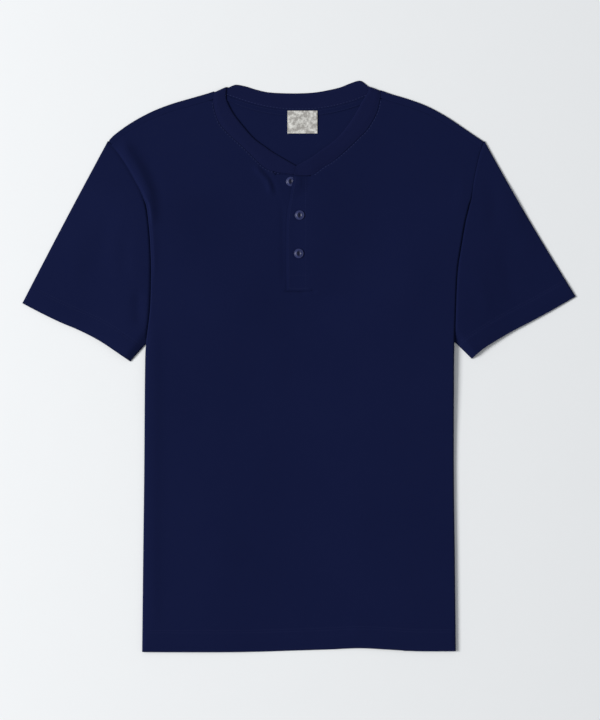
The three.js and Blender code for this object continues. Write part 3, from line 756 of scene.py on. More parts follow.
def named(name: str) -> bpy.types.Object:
    """Names the object just added.

    Args:
        name: Name for the object just added.

    Returns:
        The object.
    """
    obj = bpy.context.active_object
    obj.name = name
    obj.data.name = name
    return obj


def grid_sheet(name: str, points: Points, pattern: Points) -> Bench:
    """An open sheet on a grid of points.

    Args:
        name: Name of the object.
        points: Rows of points, millimetres.
        pattern: Flat place of each point.

    Returns:
        The bench with it.
    """
    rows, columns = points.shape[:2]
    bpy.ops.mesh.primitive_grid_add(x_subdivisions=columns - 1, y_subdivisions=rows - 1, size=2)
    bench = Bench(named(name))
    if len(bench.obj.data.vertices) != rows * columns:
        raise ValueError(f"{name}: the grid has {len(bench.obj.data.vertices)} points")
    bench.write_pattern(pattern.reshape(-1, 2))
    return bench.move_points(points.reshape(-1, 3) * METRE)


def loft(name: str, rings: Points, pattern: Points, capped: bool = True) -> Bench:
    """A closed skin through rings of points.

    Args:
        name: Name of the object.
        rings: Rings of points, millimetres, each without its first point again.
        pattern: Flat place of each point.
        capped: Whether the ends are filled.

    Returns:
        The bench with it.
    """
    around = np.concatenate([rings, rings[:, :1]], axis=1)
    flat = np.concatenate([pattern, pattern[:, :1]], axis=1)
    bench = grid_sheet(name, around, flat)
    bench.edit(lambda: bpy.ops.mesh.remove_doubles(threshold=1e-6))
    if capped:
        bench.edit(lambda: bpy.ops.mesh.fill_holes(sides=0))
    return bench


@dataclass(frozen=True)
class Rim:
    """Shape of a cut sheet's edge, which dips into its seam.

    Attributes:
        dip: Depth of the edge itself.
        steps: Width and rise of each ring in from the edge.
        closest: Least distance between two points of the outline.
    """

    dip: float = 0.4
    steps: Table = ((0.4, 0.2), (0.7, 0.13), (1.1, 0.07))
    closest: float = 0.3


def cut_sheet(name: str, outline: Points, across: Sequence[float], along: Sequence[float], rim: Rim) -> Bench:
    """A flat sheet cut to an outline and divided along straight lines.

    Args:
        name: Name of the object.
        outline: Points round it, in the units of the pattern.
        across: Places of the lines that run along.
        along: Places of the lines that run across.
        rim: How its edge dips.

    Returns:
        The bench with it, flat but for the rim, in the pattern's units.
    """
    apart = np.linalg.norm(outline - np.roll(outline, 1, axis=0), axis=1) > rim.closest
    outline = outline[apart]
    bpy.ops.mesh.primitive_circle_add(vertices=len(outline), radius=1, fill_type="NGON")
    bench = Bench(named(name))
    bench.move_points(np.column_stack([outline, np.full(len(outline), -rim.dip)]))
    upward = bench.obj.data.polygons[0].normal.z > 0
    bench.activate()
    bpy.ops.object.mode_set(mode="EDIT")
    bpy.ops.mesh.select_all(action="SELECT")
    if not upward:
        bpy.ops.mesh.flip_normals()
    for width, rise in rim.steps:
        bpy.ops.mesh.inset(thickness=width, depth=rise, use_boundary=True, use_even_offset=True)
    lines = [((0, v, 0), (0, 1, 0)) for v in along] + [((u, 0, 0), (1, 0, 0)) for u in across]
    for place, normal in lines:
        bpy.ops.mesh.select_all(action="SELECT")
        bpy.ops.mesh.bisect(plane_co=place, plane_no=normal)
    bpy.ops.object.mode_set(mode="OBJECT")
    return bench


# Finishes


class Socket:
    """A shader value that can be used in arithmetic."""

    def __init__(self, graph: "Graph", socket: bpy.types.NodeSocket) -> None:
        """Wraps an output of a node.

        Args:
            graph: The material's nodes.
            socket: The output that holds the value.
        """
        self.graph = graph
        self.socket = socket

    def _math(self, operation: str, *others: "Socket | float") -> "Socket":
        """Returns: a Math node's value, with this value as its first input."""
        return self.graph.node(
            "ShaderNodeMath", {"operation": operation}, {0: self, **dict(enumerate(others, 1))}
        )

    def __add__(self, other: "Socket | float") -> "Socket":
        """Returns: the sum."""
        return self._math("ADD", other)

    def __sub__(self, other: "Socket | float") -> "Socket":
        """Returns: the difference."""
        return self._math("SUBTRACT", other)

    def __rsub__(self, other: float) -> "Socket":
        """Returns: a number less this value."""
        return self._math("MULTIPLY", -1.0) + other

    def __mul__(self, other: "Socket | float") -> "Socket":
        """Returns: the product."""
        return self._math("MULTIPLY", other)

    def __truediv__(self, other: "Socket | float") -> "Socket":
        """Returns: the quotient."""
        return self._math("DIVIDE", other)

    __radd__ = __add__
    __rmul__ = __mul__

    def sine(self) -> "Socket":
        """Returns: its sine."""
        return self._math("SINE")

    def absolute(self) -> "Socket":
        """Returns: its size without its sign."""
        return self._math("ABSOLUTE")


class Graph:
    """The nodes of one material."""

    def __init__(self, name: str) -> None:
        """Starts an empty material.

        Args:
            name: Name of the material.
        """
        self.material = bpy.data.materials.new(name)
        self.material.use_nodes = True
        self.tree = self.material.node_tree
        self.tree.nodes.clear()

    def node(
        self, kind: str, settings: dict | None = None, inputs: dict | None = None, output: int | str = 0
    ) -> Socket:
        """Adds a node.

        Args:
            kind: Its type.
            settings: Its properties.
            inputs: Values or links, by socket name or index.
            output: Which output is returned.

        Returns:
            The output.
        """
        node = self.tree.nodes.new(kind)
        for name, value in (settings or {}).items():
            setattr(node, name, value)
        for name, value in (inputs or {}).items():
            target = node.inputs[name]
            if isinstance(value, Socket):
                self.tree.links.new(value.socket, target)
            else:
                target.default_value = value
        return Socket(self, node.outputs[output])

    def pattern(self) -> tuple[Socket, Socket]:
        """Returns: the place on the flat cloth, across and along, in metres."""
        place = self.node("ShaderNodeUVMap", {"uv_map": "Pattern"})
        split = self.node("ShaderNodeSeparateXYZ", None, {0: place})
        return split, Socket(self, split.socket.node.outputs[1])

    def object_place(self) -> Socket:
        """Returns: the place in the object's own space."""
        return self.node("ShaderNodeTexCoord", None, None, "Object")

    def noise(self, place: Socket, scale: float, detail: float = 2.0) -> Socket:
        """Adds a noise.

        Args:
            place: Where to read it.
            scale: Its scale.
            detail: Its detail.

        Returns:
            The noise, from 0 to 1.
        """
        return self.node("ShaderNodeTexNoise", None, {"Vector": place, "Scale": scale, "Detail": detail})

    def blend(self, share: Socket, a: tuple[float, ...], b: tuple[float, ...]) -> Socket:
        """Mixes two colours.

        Args:
            share: Share of the second colour.
            a: First colour.
            b: Second colour.

        Returns:
            The mixed colour.
        """
        return self.node(
            "ShaderNodeMix", {"data_type": "RGBA", "clamp_factor": True}, {0: share, 6: (*a, 1), 7: (*b, 1)}, 2
        )

    def bump(self, height: Socket, distance: float, strength: float = 1.0) -> Socket:
        """Bends the normal by a relief.

        Args:
            height: Relief, from 0 to 1.
            distance: Height of its full range, metres.
            strength: Its strength.

        Returns:
            The bent normal.
        """
        return self.node("ShaderNodeBump", None, {"Height": height, "Distance": distance, "Strength": strength})

    def finish(self, inputs: dict) -> bpy.types.Material:
        """Ends the material with a principled surface.

        Args:
            inputs: Values or links of the surface.

        Returns:
            The material.
        """
        surface = self.node("ShaderNodeBsdfPrincipled", None, inputs)
        end = self.tree.nodes.new("ShaderNodeOutputMaterial")
        self.tree.links.new(surface.socket, end.inputs[0])
        return self.material


@dataclass(frozen=True)
class KnitFinish:
    """Plain or ribbed knit.

    Attributes:
        name: Name of the material.
        color: Base colour.
        light: Lighter yarn colour.
        wale: Width of one wale, metres.
        course: Height of one course, metres.
        relief: Depth of the knit, metres.
        sheen: Weight of the sheen.
    """

    name: str
    color: tuple[float, float, float]
    light: tuple[float, float, float]
    wale: float = 0.0008
    course: float = 0.0006
    relief: float = 0.00012
    sheen: float = 0.03

    def material(self) -> bpy.types.Material:
        """Returns: the material."""
        graph = Graph(self.name)
        across, along = graph.pattern()
        turn = 2 * math.pi
        column = (across * (turn / self.wale)).sine()
        lean = (across * (math.pi / self.wale)).sine().absolute()
        row = ((along / self.course + lean * 0.8) * turn).sine()
        knit = column * 0.3 + row * 0.2 + 0.5
        place = graph.object_place()
        cloud = graph.noise(place, 9.0, 3.0)
        fuzz = graph.noise(place, 1400.0, 2.0)
        shade = cloud * 0.5 + fuzz * 0.35 + knit * 0.3 - 0.1
        return graph.finish(
            {
                "Base Color": graph.blend(shade, self.color, self.light),
                "Roughness": graph.noise(place, 60.0) * 0.08 + 0.82,
                "Specular IOR Level": 0.05,
                "Sheen Weight": self.sheen,
                "Sheen Roughness": 0.55,
                "Sheen Tint": (0.55, 0.62, 0.95, 1),
                "Normal": graph.bump(knit + fuzz * 0.4, self.relief, 0.6),
            }
        )


@dataclass(frozen=True)
class ResinFinish:
    """Half-gloss button resin.

    Attributes:
        name: Name of the material.
        color: Base colour, and the darker colour of the eye, painted shade in its recess.
        light: Lighter swirl.
        roughness: Roughness.
        eye: Half width and half height of its eye, painted darker as shade in its recess, metres.
    """

    name: str
    color: tuple[float, float, float]
    light: tuple[float, float, float]
    roughness: float = 0.26
    eye: tuple[float, float] = (0.0020, 0.0034)

    def material(self) -> bpy.types.Material:
        """Returns: the material."""
        graph = Graph(self.name)
        swirl = graph.noise(graph.object_place(), 380.0, 3.0)
        across, along = graph.pattern()
        wide, high = across / self.eye[0], along / self.eye[1]
        # Painted shade: the colour darkens towards the middle of the recessed eye.
        rise = (wide * wide + high * high - 0.7) * 1.4
        return graph.finish(
            {
                "Base Color": graph.blend(rise * 0.7 + swirl * 0.6 - 0.2, self.color, self.light),
                "Roughness": swirl * 0.12 + self.roughness,
                "Specular IOR Level": 0.5,
            }
        )


@dataclass(frozen=True)
class LabelFinish:
    """Bare woven label with a mottled ground.

    Attributes:
        name: Name of the material.
        color: Darker patches.
        light: Ground.
    """

    name: str
    color: tuple[float, float, float]
    light: tuple[float, float, float]

    def material(self) -> bpy.types.Material:
        """Returns: the material."""
        graph = Graph(self.name)
        place = graph.object_place()
        across, along = graph.pattern()
        turn = 2 * math.pi
        weave = (across * (turn / 0.0005)).sine() * (along * (turn / 0.0005)).sine()
        patches = (graph.noise(place, 260.0, 4.0) - 0.42) * 4.0
        return graph.finish(
            {
                "Base Color": graph.blend(patches, self.color, self.light),
                "Roughness": graph.noise(place, 300.0) * 0.1 + 0.62,
                "Specular IOR Level": 0.35,
                "Normal": graph.bump(weave * 0.5 + 0.5, 0.00008, 0.7),
            }
        )


@dataclass(frozen=True)
class FloorFinish:
    """Plain pale surface.

    Attributes:
        name: Name of the material.
        color: Base colour.
    """

    name: str
    color: tuple[float, float, float]

    def material(self) -> bpy.types.Material:
        """Returns: the material."""
        graph = Graph(self.name)
        grain = graph.noise(graph.object_place(), 30.0, 4.0)
        light = tuple(min(1.0, c * 1.01) for c in self.color)
        return graph.finish(
            {
                "Base Color": graph.blend(grain, self.color, light),
                "Roughness": 0.9,
                "Specular IOR Level": 0.1,
            }
        )


@dataclass(frozen=True)
class Finishes:
    """Every finish of the scene."""

    jersey: KnitFinish = KnitFinish("jersey", (0.0033, 0.0061, 0.0345), (0.0054, 0.0088, 0.0430))
    rib: KnitFinish = KnitFinish(
        "neck_rib", (0.0041, 0.0065, 0.036), (0.0063, 0.0094, 0.045), 0.0013, 0.0007, 0.0003
    )
    tape: KnitFinish = KnitFinish(
        "neck_tape", (0.0031, 0.0058, 0.0335), (0.0050, 0.0083, 0.0415), 0.0009, 0.0009, 0.0001
    )
    # Lighter than the cloth: painted glint of light on the stitches.
    thread: KnitFinish = KnitFinish(
        "thread", (0.0095, 0.0135, 0.054), (0.0150, 0.0205, 0.072), 0.0003, 0.0003, 0.00005
    )
    # Lighter still: painted glint of light on the stitches beside the neck seam.
    neck_thread: KnitFinish = KnitFinish(
        "neck_thread", (0.014, 0.019, 0.066), (0.022, 0.029, 0.090), 0.0003, 0.0003, 0.00005
    )
    button_thread: KnitFinish = KnitFinish(
        "button_thread", (0.0020, 0.0036, 0.018), (0.0040, 0.0060, 0.026), 0.0003, 0.0003, 0.00005
    )
    label: LabelFinish = LabelFinish("label", (0.34, 0.325, 0.30), (0.72, 0.71, 0.665))
    button: ResinFinish = ResinFinish("button", (0.004, 0.007, 0.040), (0.017, 0.024, 0.095))
    floor: FloorFinish = FloorFinish("floor", (0.83, 0.84, 0.845))


# The shirt's pieces


@dataclass
class Piece:
    """A piece of the shirt: its mesh, what it stands for and its finish.

    Attributes:
        shape: The shirt's shape.
    """

    shape: ShirtShape

    def register(self, bench: Bench, nodes: Sequence[str], slot: Slot, material: bpy.types.Material) -> None:
        """Finishes a piece and ties it to the frame.

        Args:
            bench: The piece.
            nodes: Solids that it stands for.
            slot: Its material slot in the record; not used.
            material: Its finish.
        """
        obj = bench.obj
        obj.data.materials.clear()
        obj.data.materials.append(material)
        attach(obj, BODY)
        if nodes:
            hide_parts(*nodes)
        log.info("%s: %d faces", obj.name, len(obj.data.polygons))


@dataclass
class Panel(Piece):
    """A body panel, cut from its pattern and laid.

    Its pattern is first made straight: the side folds lie along one line at middle, and the shoulders,
    above the level up to which nothing changes, along another at shoulder_v.
    """

    layer: Layer
    overlap: float = 0.5
    overlap_reach: float = 10.0
    middle: float = 193.0
    shoulder_v: float = 345.0
    level: float = 200.0

    # Lines that divide the panel: start, end and pitch
    pitch: float = 5.0
    fold_margin: float = 4.0
    fold_span: Span = (-3.0, 2.0)
    under: tuple[float, float, float] = (6.0, 66.0, 6.0)
    beside: tuple[float, float, float] = (-29.2, -4.0, 2.5)
    fine_across: tuple[float, float, float] = (-64.0, 26.0, 2.0)
    fine_along: Table = ((88.0, 100.0, 1.0), (101.0, 256.0, 2.5), (-338.0, -324.0, 1.4))
    fine_shift: float = 0.13
    lowest_line: float = -352.0
    shoulder_pitch: float = 4.0
    shoulder_lines: int = 7
    shoulder_margin: float = 0.5

    # Points of the outline
    side_pitch: float = 12.0
    armhole_pitch: float = 2.5
    hem_pitch: float = 6.0
    hem_half: float = 186.0
    seam_points: int = 24
    tip_points: int = 60
    search_reach: float = 20.0
    search_pitch: float = 0.1

    # The rim's dip
    shoulder_flat: float = 0.6
    shoulder_band: Span = (-16.0, -12.0)
    hidden_from: Span = (-2.0, 1.0)
    clear_of_floor: Span = (0.2, 0.9)

    def __post_init__(self) -> None:
        """Works out which height of the side fold each straightened height stands for."""
        shape = self.shape
        self.radius = self.layer.radius
        tips = np.linspace(self.level, shape.shoulder_tip_y, self.tip_points)
        self.tip_height = {}
        for side in Side:
            top = shape.shoulder_fold(side, shape.fold_centre(side, tips))
            self.tip_height[side] = Curve((tips - self.level) / (top - self.level), tips)

    def _nominal(self, side: Side, v: np.ndarray) -> np.ndarray:
        """Returns: the height on the body's edge for a straightened height."""
        share = np.clip((v - self.level) / (self.shoulder_v - self.level), 0, 1)
        return np.where(v <= self.level, v, self.tip_height[side](share))

    def _top(self, x: np.ndarray) -> np.ndarray:
        """Returns: the height of the shoulder fold at each place across."""
        return self.shape.by_side(x, lambda s: self.shape.shoulder_fold(s, np.abs(x)))

    def straighten(self, pattern: Points) -> Points:
        """Makes the side folds and the shoulders straight.

        Args:
            pattern: Places on the flat cloth.

        Returns:
            The same places with the side folds and the shoulders made straight.
        """
        x, y = pattern[:, 0], pattern[:, 1]
        top = self._top(x)
        v = np.where(
            y <= self.level,
            y,
            np.where(
                y <= top,
                self.level + (y - self.level) / (top - self.level) * (self.shoulder_v - self.level),
                self.shoulder_v + y - top,
            ),
        )
        centre = self.shape.by_side(x, lambda s: self.shape.fold_centre(s, self._nominal(s, v)))
        out = np.abs(x)
        u = np.where(out <= centre, out * self.middle / centre, self.middle + out - centre)
        return np.stack([np.where(x < 0, -u, u), v], axis=1)

    def bend(self, straight: Points) -> Points:
        """Puts straightened places back on the flat cloth.

        Args:
            straight: Places with the side folds and the shoulders made straight.

        Returns:
            The same places on the flat cloth.
        """
        u, v = straight[:, 0], straight[:, 1]
        centre = self.shape.by_side(u, lambda s: self.shape.fold_centre(s, self._nominal(s, v)))
        out = np.abs(u)
        out = np.where(out <= self.middle, out * centre / self.middle, centre + out - self.middle)
        x = np.where(u < 0, -out, out)
        top = self._top(x)
        share = (v - self.level) / (self.shoulder_v - self.level)
        raised = lerp(self.level, top, share)
        y = np.where(v <= self.level, v, np.where(v <= self.shoulder_v, raised, top + v - self.shoulder_v))
        return np.stack([x, y], axis=1)

    def lines_across(self) -> list[float]:
        """Returns: places of the lines that run along the panel, close together round the fold."""
        turn = math.pi * self.radius
        start, end, pitch = self.under
        half = [
            *np.arange(self.pitch / 2, self.middle - self.fold_margin, self.pitch),
            *np.linspace(
                self.middle + self.fold_span[0], self.middle + turn + self.fold_span[1], self.layer.fold_lines
            ),
            *np.arange(self.middle + turn + start, self.middle + turn + end, pitch),
            *np.arange(self.middle + self.beside[0], self.middle + self.beside[1], self.beside[2]),
        ]
        fine = np.arange(*self.fine_across) if self.layer.fine else []
        return sorted([*(-u for u in half), *half, *fine])

    def lines_along(self) -> list[float]:
        """Returns: places of the lines that run across the panel."""
        level = [
            *np.arange(self.lowest_line, self.level, self.pitch),
            *np.arange(self.level, self.shoulder_v, self.shoulder_pitch),
        ]
        if self.layer.fine:
            fine = [float(v) + self.fine_shift for span in self.fine_along for v in np.arange(*span)]
            low = [v for v in level if v < self.level]
            return low + fine + level[len(low) :]
        margin, over = self.shoulder_margin, self.shoulder_v + math.pi * self.radius
        return level + list(np.linspace(self.shoulder_v - margin, over + margin, self.shoulder_lines))

    def side_outline(self, side: Side, top_y: float) -> Points:
        """Draws one side of the flat outline.

        Args:
            side: Which side.
            top_y: Where the armhole ends.

        Returns:
            One side of the flat outline, from the hem up, out from the centre line.
        """
        shape = self.shape
        low = np.arange(shape.hem_bottom, shape.underarm_y, self.side_pitch)
        y = np.concatenate([low, np.arange(shape.underarm_y, top_y, self.armhole_pitch), [top_y]])
        x = shape.fold_centre(side, y) + self.radius * shape.turn(y) + shape.tuck(y)
        x = x + self.overlap * smoothstep(y - shape.fold_start_y, 0, self.overlap_reach)
        y[0] = shape.hem(side.value * shape.edge[side](y[0]))
        return np.column_stack([x, y])

    def hem_outline(self) -> Points:
        """Returns: the hem, from left to right."""
        x = np.arange(-self.hem_half, self.hem_half + 1, self.hem_pitch)
        return np.column_stack([x, self.shape.hem(x)])

    def seam_top(self, side: Side) -> float:
        """Finds the upper end of the armhole on the front.

        Args:
            side: Which side.

        Returns:
            Height at which the front's shoulder seam meets the armhole.
        """
        shape = self.shape
        tip, reach = shape.shoulder_tip_y, self.search_reach
        y = np.arange(tip - reach, tip + reach, self.search_pitch)
        inside = y < shape.top[side](shape.edge[side](y)) - shape.forward_seam
        return float(y[inside][-1])

    def shoulder_seam(self, side: Side, start: float, end: float, lower: float) -> Points:
        """Draws a shoulder seam.

        Args:
            side: Which side.
            start: Distance from the centre line at which it starts.
            end: Distance at which it ends.
            lower: How far below the outline it runs.

        Returns:
            The seam, out from the centre line.
        """
        x = np.linspace(start, end, self.seam_points)
        return np.column_stack([x, self.shape.top[side](x) - lower])

    def rim_share(self, flat: Points) -> np.ndarray:
        """Reads how much of the rim's dip is kept.

        Args:
            flat: Places on the flat cloth.

        Returns:
            How much of the rim's dip each place keeps: less along the shoulder seams.
        """
        return 1 - self.shoulder_flat * smoothstep(flat[:, 1] - self._top(flat[:, 0]), *self.shoulder_band)

    def lay(self, name: str, outline: Points, place: Place) -> Bench:
        """Cuts the panel and lays it.

        Args:
            name: Name of the object.
            outline: Its flat outline.
            place: Where each flat point goes.

        Returns:
            The bench with it.
        """
        bench = cut_sheet(name, self.straighten(outline), self.lines_across(), self.lines_along(), Rim())
        found = bench.points()
        flat = self.bend(found[:, :2])
        bench.write_pattern(flat)
        points = place(flat[:, 0], flat[:, 1])
        centre = self.shape.by_side(flat[:, 0], lambda s: self.shape.fold_centre(s, flat[:, 1]))
        folded = self.shape.turn(flat[:, 1]) > 0.5
        shown = 1 - smoothstep(np.abs(flat[:, 0]) - centre, *self.hidden_from) * folded
        free = smoothstep(points[:, 2] - self.shape.floor_layer, *self.clear_of_floor)
        points[:, 2] += found[:, 2] * shown * free * self.rim_share(flat)
        bench.move_points(points * METRE)
        return bench.thicken(self.shape.wall).close()


def mirrored(points: Points) -> Points:
    """Mirrors a line onto the left side.

    Args:
        points: Points of the right side, in order.

    Returns:
        The same points on the left, in the opposite order.
    """
    return (points * (-1, 1))[::-1]


class Stretch(Enum):
    """Stretches of the neckband, in the order in which it runs."""

    LEFT = "left"
    BACK = "back"
    RIGHT = "right"


class Band:
    """Rows of the neckband seen from above: its seam and its free edge, each across and up."""

    ROWS = {
        Stretch.LEFT: (
            (1, 240, 3, 248), (-11, 240.5, -4, 251), (-34, 244.5, -25, 263), (-46, 251, -34, 268.5),
            (-56, 260.6, -42.5, 274.6), (-71, 275.5, -56.5, 285), (-86, 289, -69, 299),
            (-98.5, 303, -80.5, 313.5),
            (-104.7, 317.5, -87.5, 325.5), (-107, 330, -91, 335), (-106.5, 338.5, -91, 345),
        ),
        Stretch.BACK: (
            (-104.5, 341.6, -88.5, 348.6), (-97, 339.9, -83, 351.2), (-86, 337.8, -77.5, 352.3),
            (-74, 333.4, -66, 350), (-59, 328.8, -53, 346), (-41, 324.4, -38, 342.8), (-17, 321, -17, 341.6),
            (4, 320.5, 3, 341.6), (24, 321.8, 21, 342.8), (42, 324.6, 37, 345.6), (58, 328.5, 52, 349.2),
            (72, 332.7, 64, 354), (85, 337.6, 76, 357.4), (94, 340.5, 83.5, 353), (101, 343.4, 87, 349),
        ),
        Stretch.RIGHT: (
            (102, 337.5, 87, 344), (101, 332, 84, 339), (98.5, 321, 78.5, 330.5), (94, 310.5, 73, 320),
            (85, 296, 66, 308.5), (75, 286, 58.5, 298), (66, 277, 51, 289), (55, 267, 42.5, 281),
            (42.5, 256.5, 33, 274), (31, 249.5, 25, 268.2), (24, 244, 18.5, 263.4), (15.5, 239, 11, 258.5),
            (4, 238.2, 3, 254), (-6.3, 238, -3, 251),
        ),
    }
    STEPS = {Stretch.LEFT: 78, Stretch.BACK: 90, Stretch.RIGHT: 90}

    @classmethod
    def edges(cls, part: Stretch) -> tuple[Points, Points]:
        """Draws one stretch of the band.

        Args:
            part: Which stretch.

        Returns:
            Its seam and its free edge.
        """
        rows = np.array(cls.ROWS[part], float)
        steps = cls.STEPS[part]
        return spline(rows[:, :2], steps), spline(rows[:, 2:], steps)

    @classmethod
    def outside(cls, part: Stretch, away: float) -> Points:
        """Draws a line beside the band's seam.

        Args:
            part: Which stretch.
            away: Its distance from the seam, away from the band.

        Returns:
            The line.
        """
        seam, free = cls.edges(part)
        off = seam - free
        return seam + off / np.linalg.norm(off, axis=1)[:, None] * away


@dataclass
class FrontPanel(Panel):
    """The front, with its neckline and the slot for the placket."""

    neck_lap: float = 0.05
    seam_lift: float = 1.7
    seam_reach: float = 45.0
    lift_from: float = 2.0
    lift_along: Window = (82.0, 100.0, 236.0, 270.0)
    foot_dip: float = 0.9
    foot_below: float = 3.2
    foot_width: float = 1.3
    foot_across: Window = (-20.0, -14.0, 17.0, 24.0)
    slot_flat: float = 0.85
    slant_across: Window = (-38.0, -33.0, -14.0, -12.0)
    slant_from: Span = (178.0, 190.0)
    right_across: Window = (10.0, 12.0, 18.0, 24.0)
    right_from: Span = (96.0, 100.0)
    neck_fade: Span = (238.0, 241.0)

    def neckline(self, part: Stretch, side: Side, slot_edge: float) -> Points:
        """Draws the neckline beside one stretch of the band.

        Args:
            part: Which stretch of the band it follows.
            side: Which side.
            slot_edge: Where the slot starts.

        Returns:
            The neckline in the band's order.
        """
        line = Band.outside(part, self.neck_lap)
        keep = (np.abs(line[:, 0]) > abs(slot_edge) + 1) & (side.value * line[:, 0] > 0)
        keep &= line[:, 1] < self.shape.top[side](np.abs(line[:, 0])) - self.shape.forward_seam - 1
        return line[keep]

    def rim_share(self, flat: Points) -> np.ndarray:
        """Reads how much of the rim's dip is kept.

        Args:
            flat: Places on the flat cloth.

        Returns:
            How much of the rim's dip each place keeps: little of it along the placket's sides.
        """
        x, y = flat[:, 0], flat[:, 1]
        slant = window(x, *self.slant_across) * smoothstep(y, *self.slant_from)
        right = window(x, *self.right_across) * smoothstep(y, *self.right_from)
        below = 1 - smoothstep(y, *self.neck_fade)
        return super().rim_share(flat) * (1 - self.slot_flat * (slant + right) * below)

    def beside_placket(self, x: np.ndarray, y: np.ndarray) -> Points:
        """Lays the front round its placket.

        Args:
            x: Pattern places across.
            y: Pattern places along.

        Returns:
            Middle of the front, a little raised to the right of the placket and dented at its foot.
        """
        shape = self.shape
        points = shape.front(x, y)
        past = np.maximum(x - shape.slot_right, 0)
        right = smoothstep(x, self.lift_from, shape.slot_right) * np.exp(-((past / self.seam_reach) ** 2))
        points[..., 2] += self.seam_lift * right * window(y, *self.lift_along)
        away = np.abs(y - shape.slot_foot + self.foot_below)
        foot_share = window(x, *self.foot_across) * np.exp(-((away / self.foot_width) ** 2))
        points[..., 2] -= self.foot_dip * foot_share
        return points

    def build(self, finishes: Materials) -> Bench:
        """Builds the piece and ties it to the frame.

        Args:
            finishes: Materials by name.

        Returns:
            The finished panel.
        """
        shape = self.shape
        right, left = self.seam_top(Side.RIGHT), self.seam_top(Side.LEFT)
        neck_right = self.neckline(Stretch.RIGHT, Side.RIGHT, shape.slot_right)
        neck_left = self.neckline(Stretch.LEFT, Side.LEFT, shape.slot_slant[-1][0])
        slot = np.array(
            [
                (shape.slot_right, neck_right[-1][1]), (shape.slot_right, shape.slot_foot),
                (shape.slot_left, shape.slot_foot), *shape.slot_slant,
            ]
        )
        ends = (
            (Side.RIGHT, shape.edge[Side.RIGHT](right), neck_right[0][0]),
            (Side.LEFT, shape.edge[Side.LEFT](left), -neck_left[-1][0]),
        )
        seam_right, seam_left = (
            self.shoulder_seam(side, start, end, shape.forward_seam)[1:-1] for side, start, end in ends
        )
        outline = np.concatenate(
            [
                self.hem_outline(), self.side_outline(Side.RIGHT, right), seam_right, neck_right, slot,
                neck_left, mirrored(seam_left), mirrored(self.side_outline(Side.LEFT, left)),
            ]
        )
        bench = self.lay("front", outline, self.beside_placket)
        self.register(bench, ["front_panel"], Slot.JERSEY, finishes["jersey"])
        return bench


@dataclass
class BackPanel(Panel):
    """The back, which comes forward over the shoulders."""

    neck_fold: dict[Side, float] = field(default_factory=lambda: {Side.LEFT: 106.4, Side.RIGHT: 101.5})
    neck_corner: Span = (9.0, 2.6)
    neck_points: int = 48
    neck_lap: float = 0.4

    def side(self, side: Side) -> Points:
        """Draws one side of the back.

        Args:
            side: Which side.

        Returns:
            The outline from the hem to the neck, out from the centre line.
        """
        shape = self.shape
        flap = (
            math.pi * shape.back_fold + shape.forward_seam - shape.cloth / 2 - shape.back_fold - shape.seam_gap
        )
        seam = float(shape.edge[side](self.seam_top(side)))
        fold_y = shape.shoulder_tip_y - 1
        tip = float(shape.edge[side](fold_y))
        neck = self.neck_fold[side]
        points = [
            self.side_outline(side, fold_y),
            [(tip, float(shape.shoulder_fold(side, tip)) + math.pi * shape.back_fold / 2)],
            self.shoulder_seam(side, seam, neck, shape.cloth / 2 + shape.back_fold - flap),
            [(neck, float(shape.shoulder_fold(side, neck)))],
            [(neck - self.neck_corner[0], float(shape.back_neck(shape.neck_half_width)) + self.neck_corner[1])],
        ]
        return np.concatenate([np.array(p, float) for p in points])

    def build(self, finishes: Materials) -> Bench:
        """Builds the piece and ties it to the frame.

        Args:
            finishes: Materials by name.

        Returns:
            The finished panel.
        """
        x = np.linspace(self.shape.neck_half_width, -self.shape.neck_half_width, self.neck_points)
        seam = Band.edges(Stretch.BACK)[0]
        neck = np.column_stack([x, np.interp(x, seam[:, 0], seam[:, 1]) + self.neck_lap])
        outline = np.concatenate(
            [self.hem_outline(), self.side(Side.RIGHT), neck, mirrored(self.side(Side.LEFT))]
        )
        bench = self.lay("back", outline, self.shape.back)
        self.register(bench, ["back_panel"], Slot.JERSEY, finishes["jersey"])
        return bench


@dataclass(frozen=True)
class SleeveForm:
    """What differs between the two sleeves.

    Attributes:
        bulge: How far the upper edge swells out.
        hollow: How far the underarm edge falls in.
        creases: Soft creases of the upper layer.
    """

    bulge: float
    hollow: float
    creases: tuple[Crease, ...]


LEFT_SLEEVE = SleeveForm(
    0.6,
    5.0,
    (
        Crease(((199, 102), (201, 76), (199, 44)), 7.0, -1.1),
        Crease(((214, 175), (218, 130), (214, 100)), 9.0, -0.5),
        Crease(((262, 190), (276, 140), (284, 92)), 16.0, 0.6),
        Crease(((232, 205), (244, 160), (250, 110)), 11.0, -0.4),
    ),
)
RIGHT_SLEEVE = SleeveForm(
    -1.6,
    2.0,
    (
        Crease(((236, 240), (243, 205), (240, 160)), 9.0, -0.5),
        Crease(((262, 215), (276, 170), (290, 120)), 14.0, 0.7),
        Crease(((222, 120), (232, 85), (238, 52)), 10.0, 0.5),
        Crease(((250, 150), (262, 110), (266, 70)), 9.0, -0.4),
    ),
)


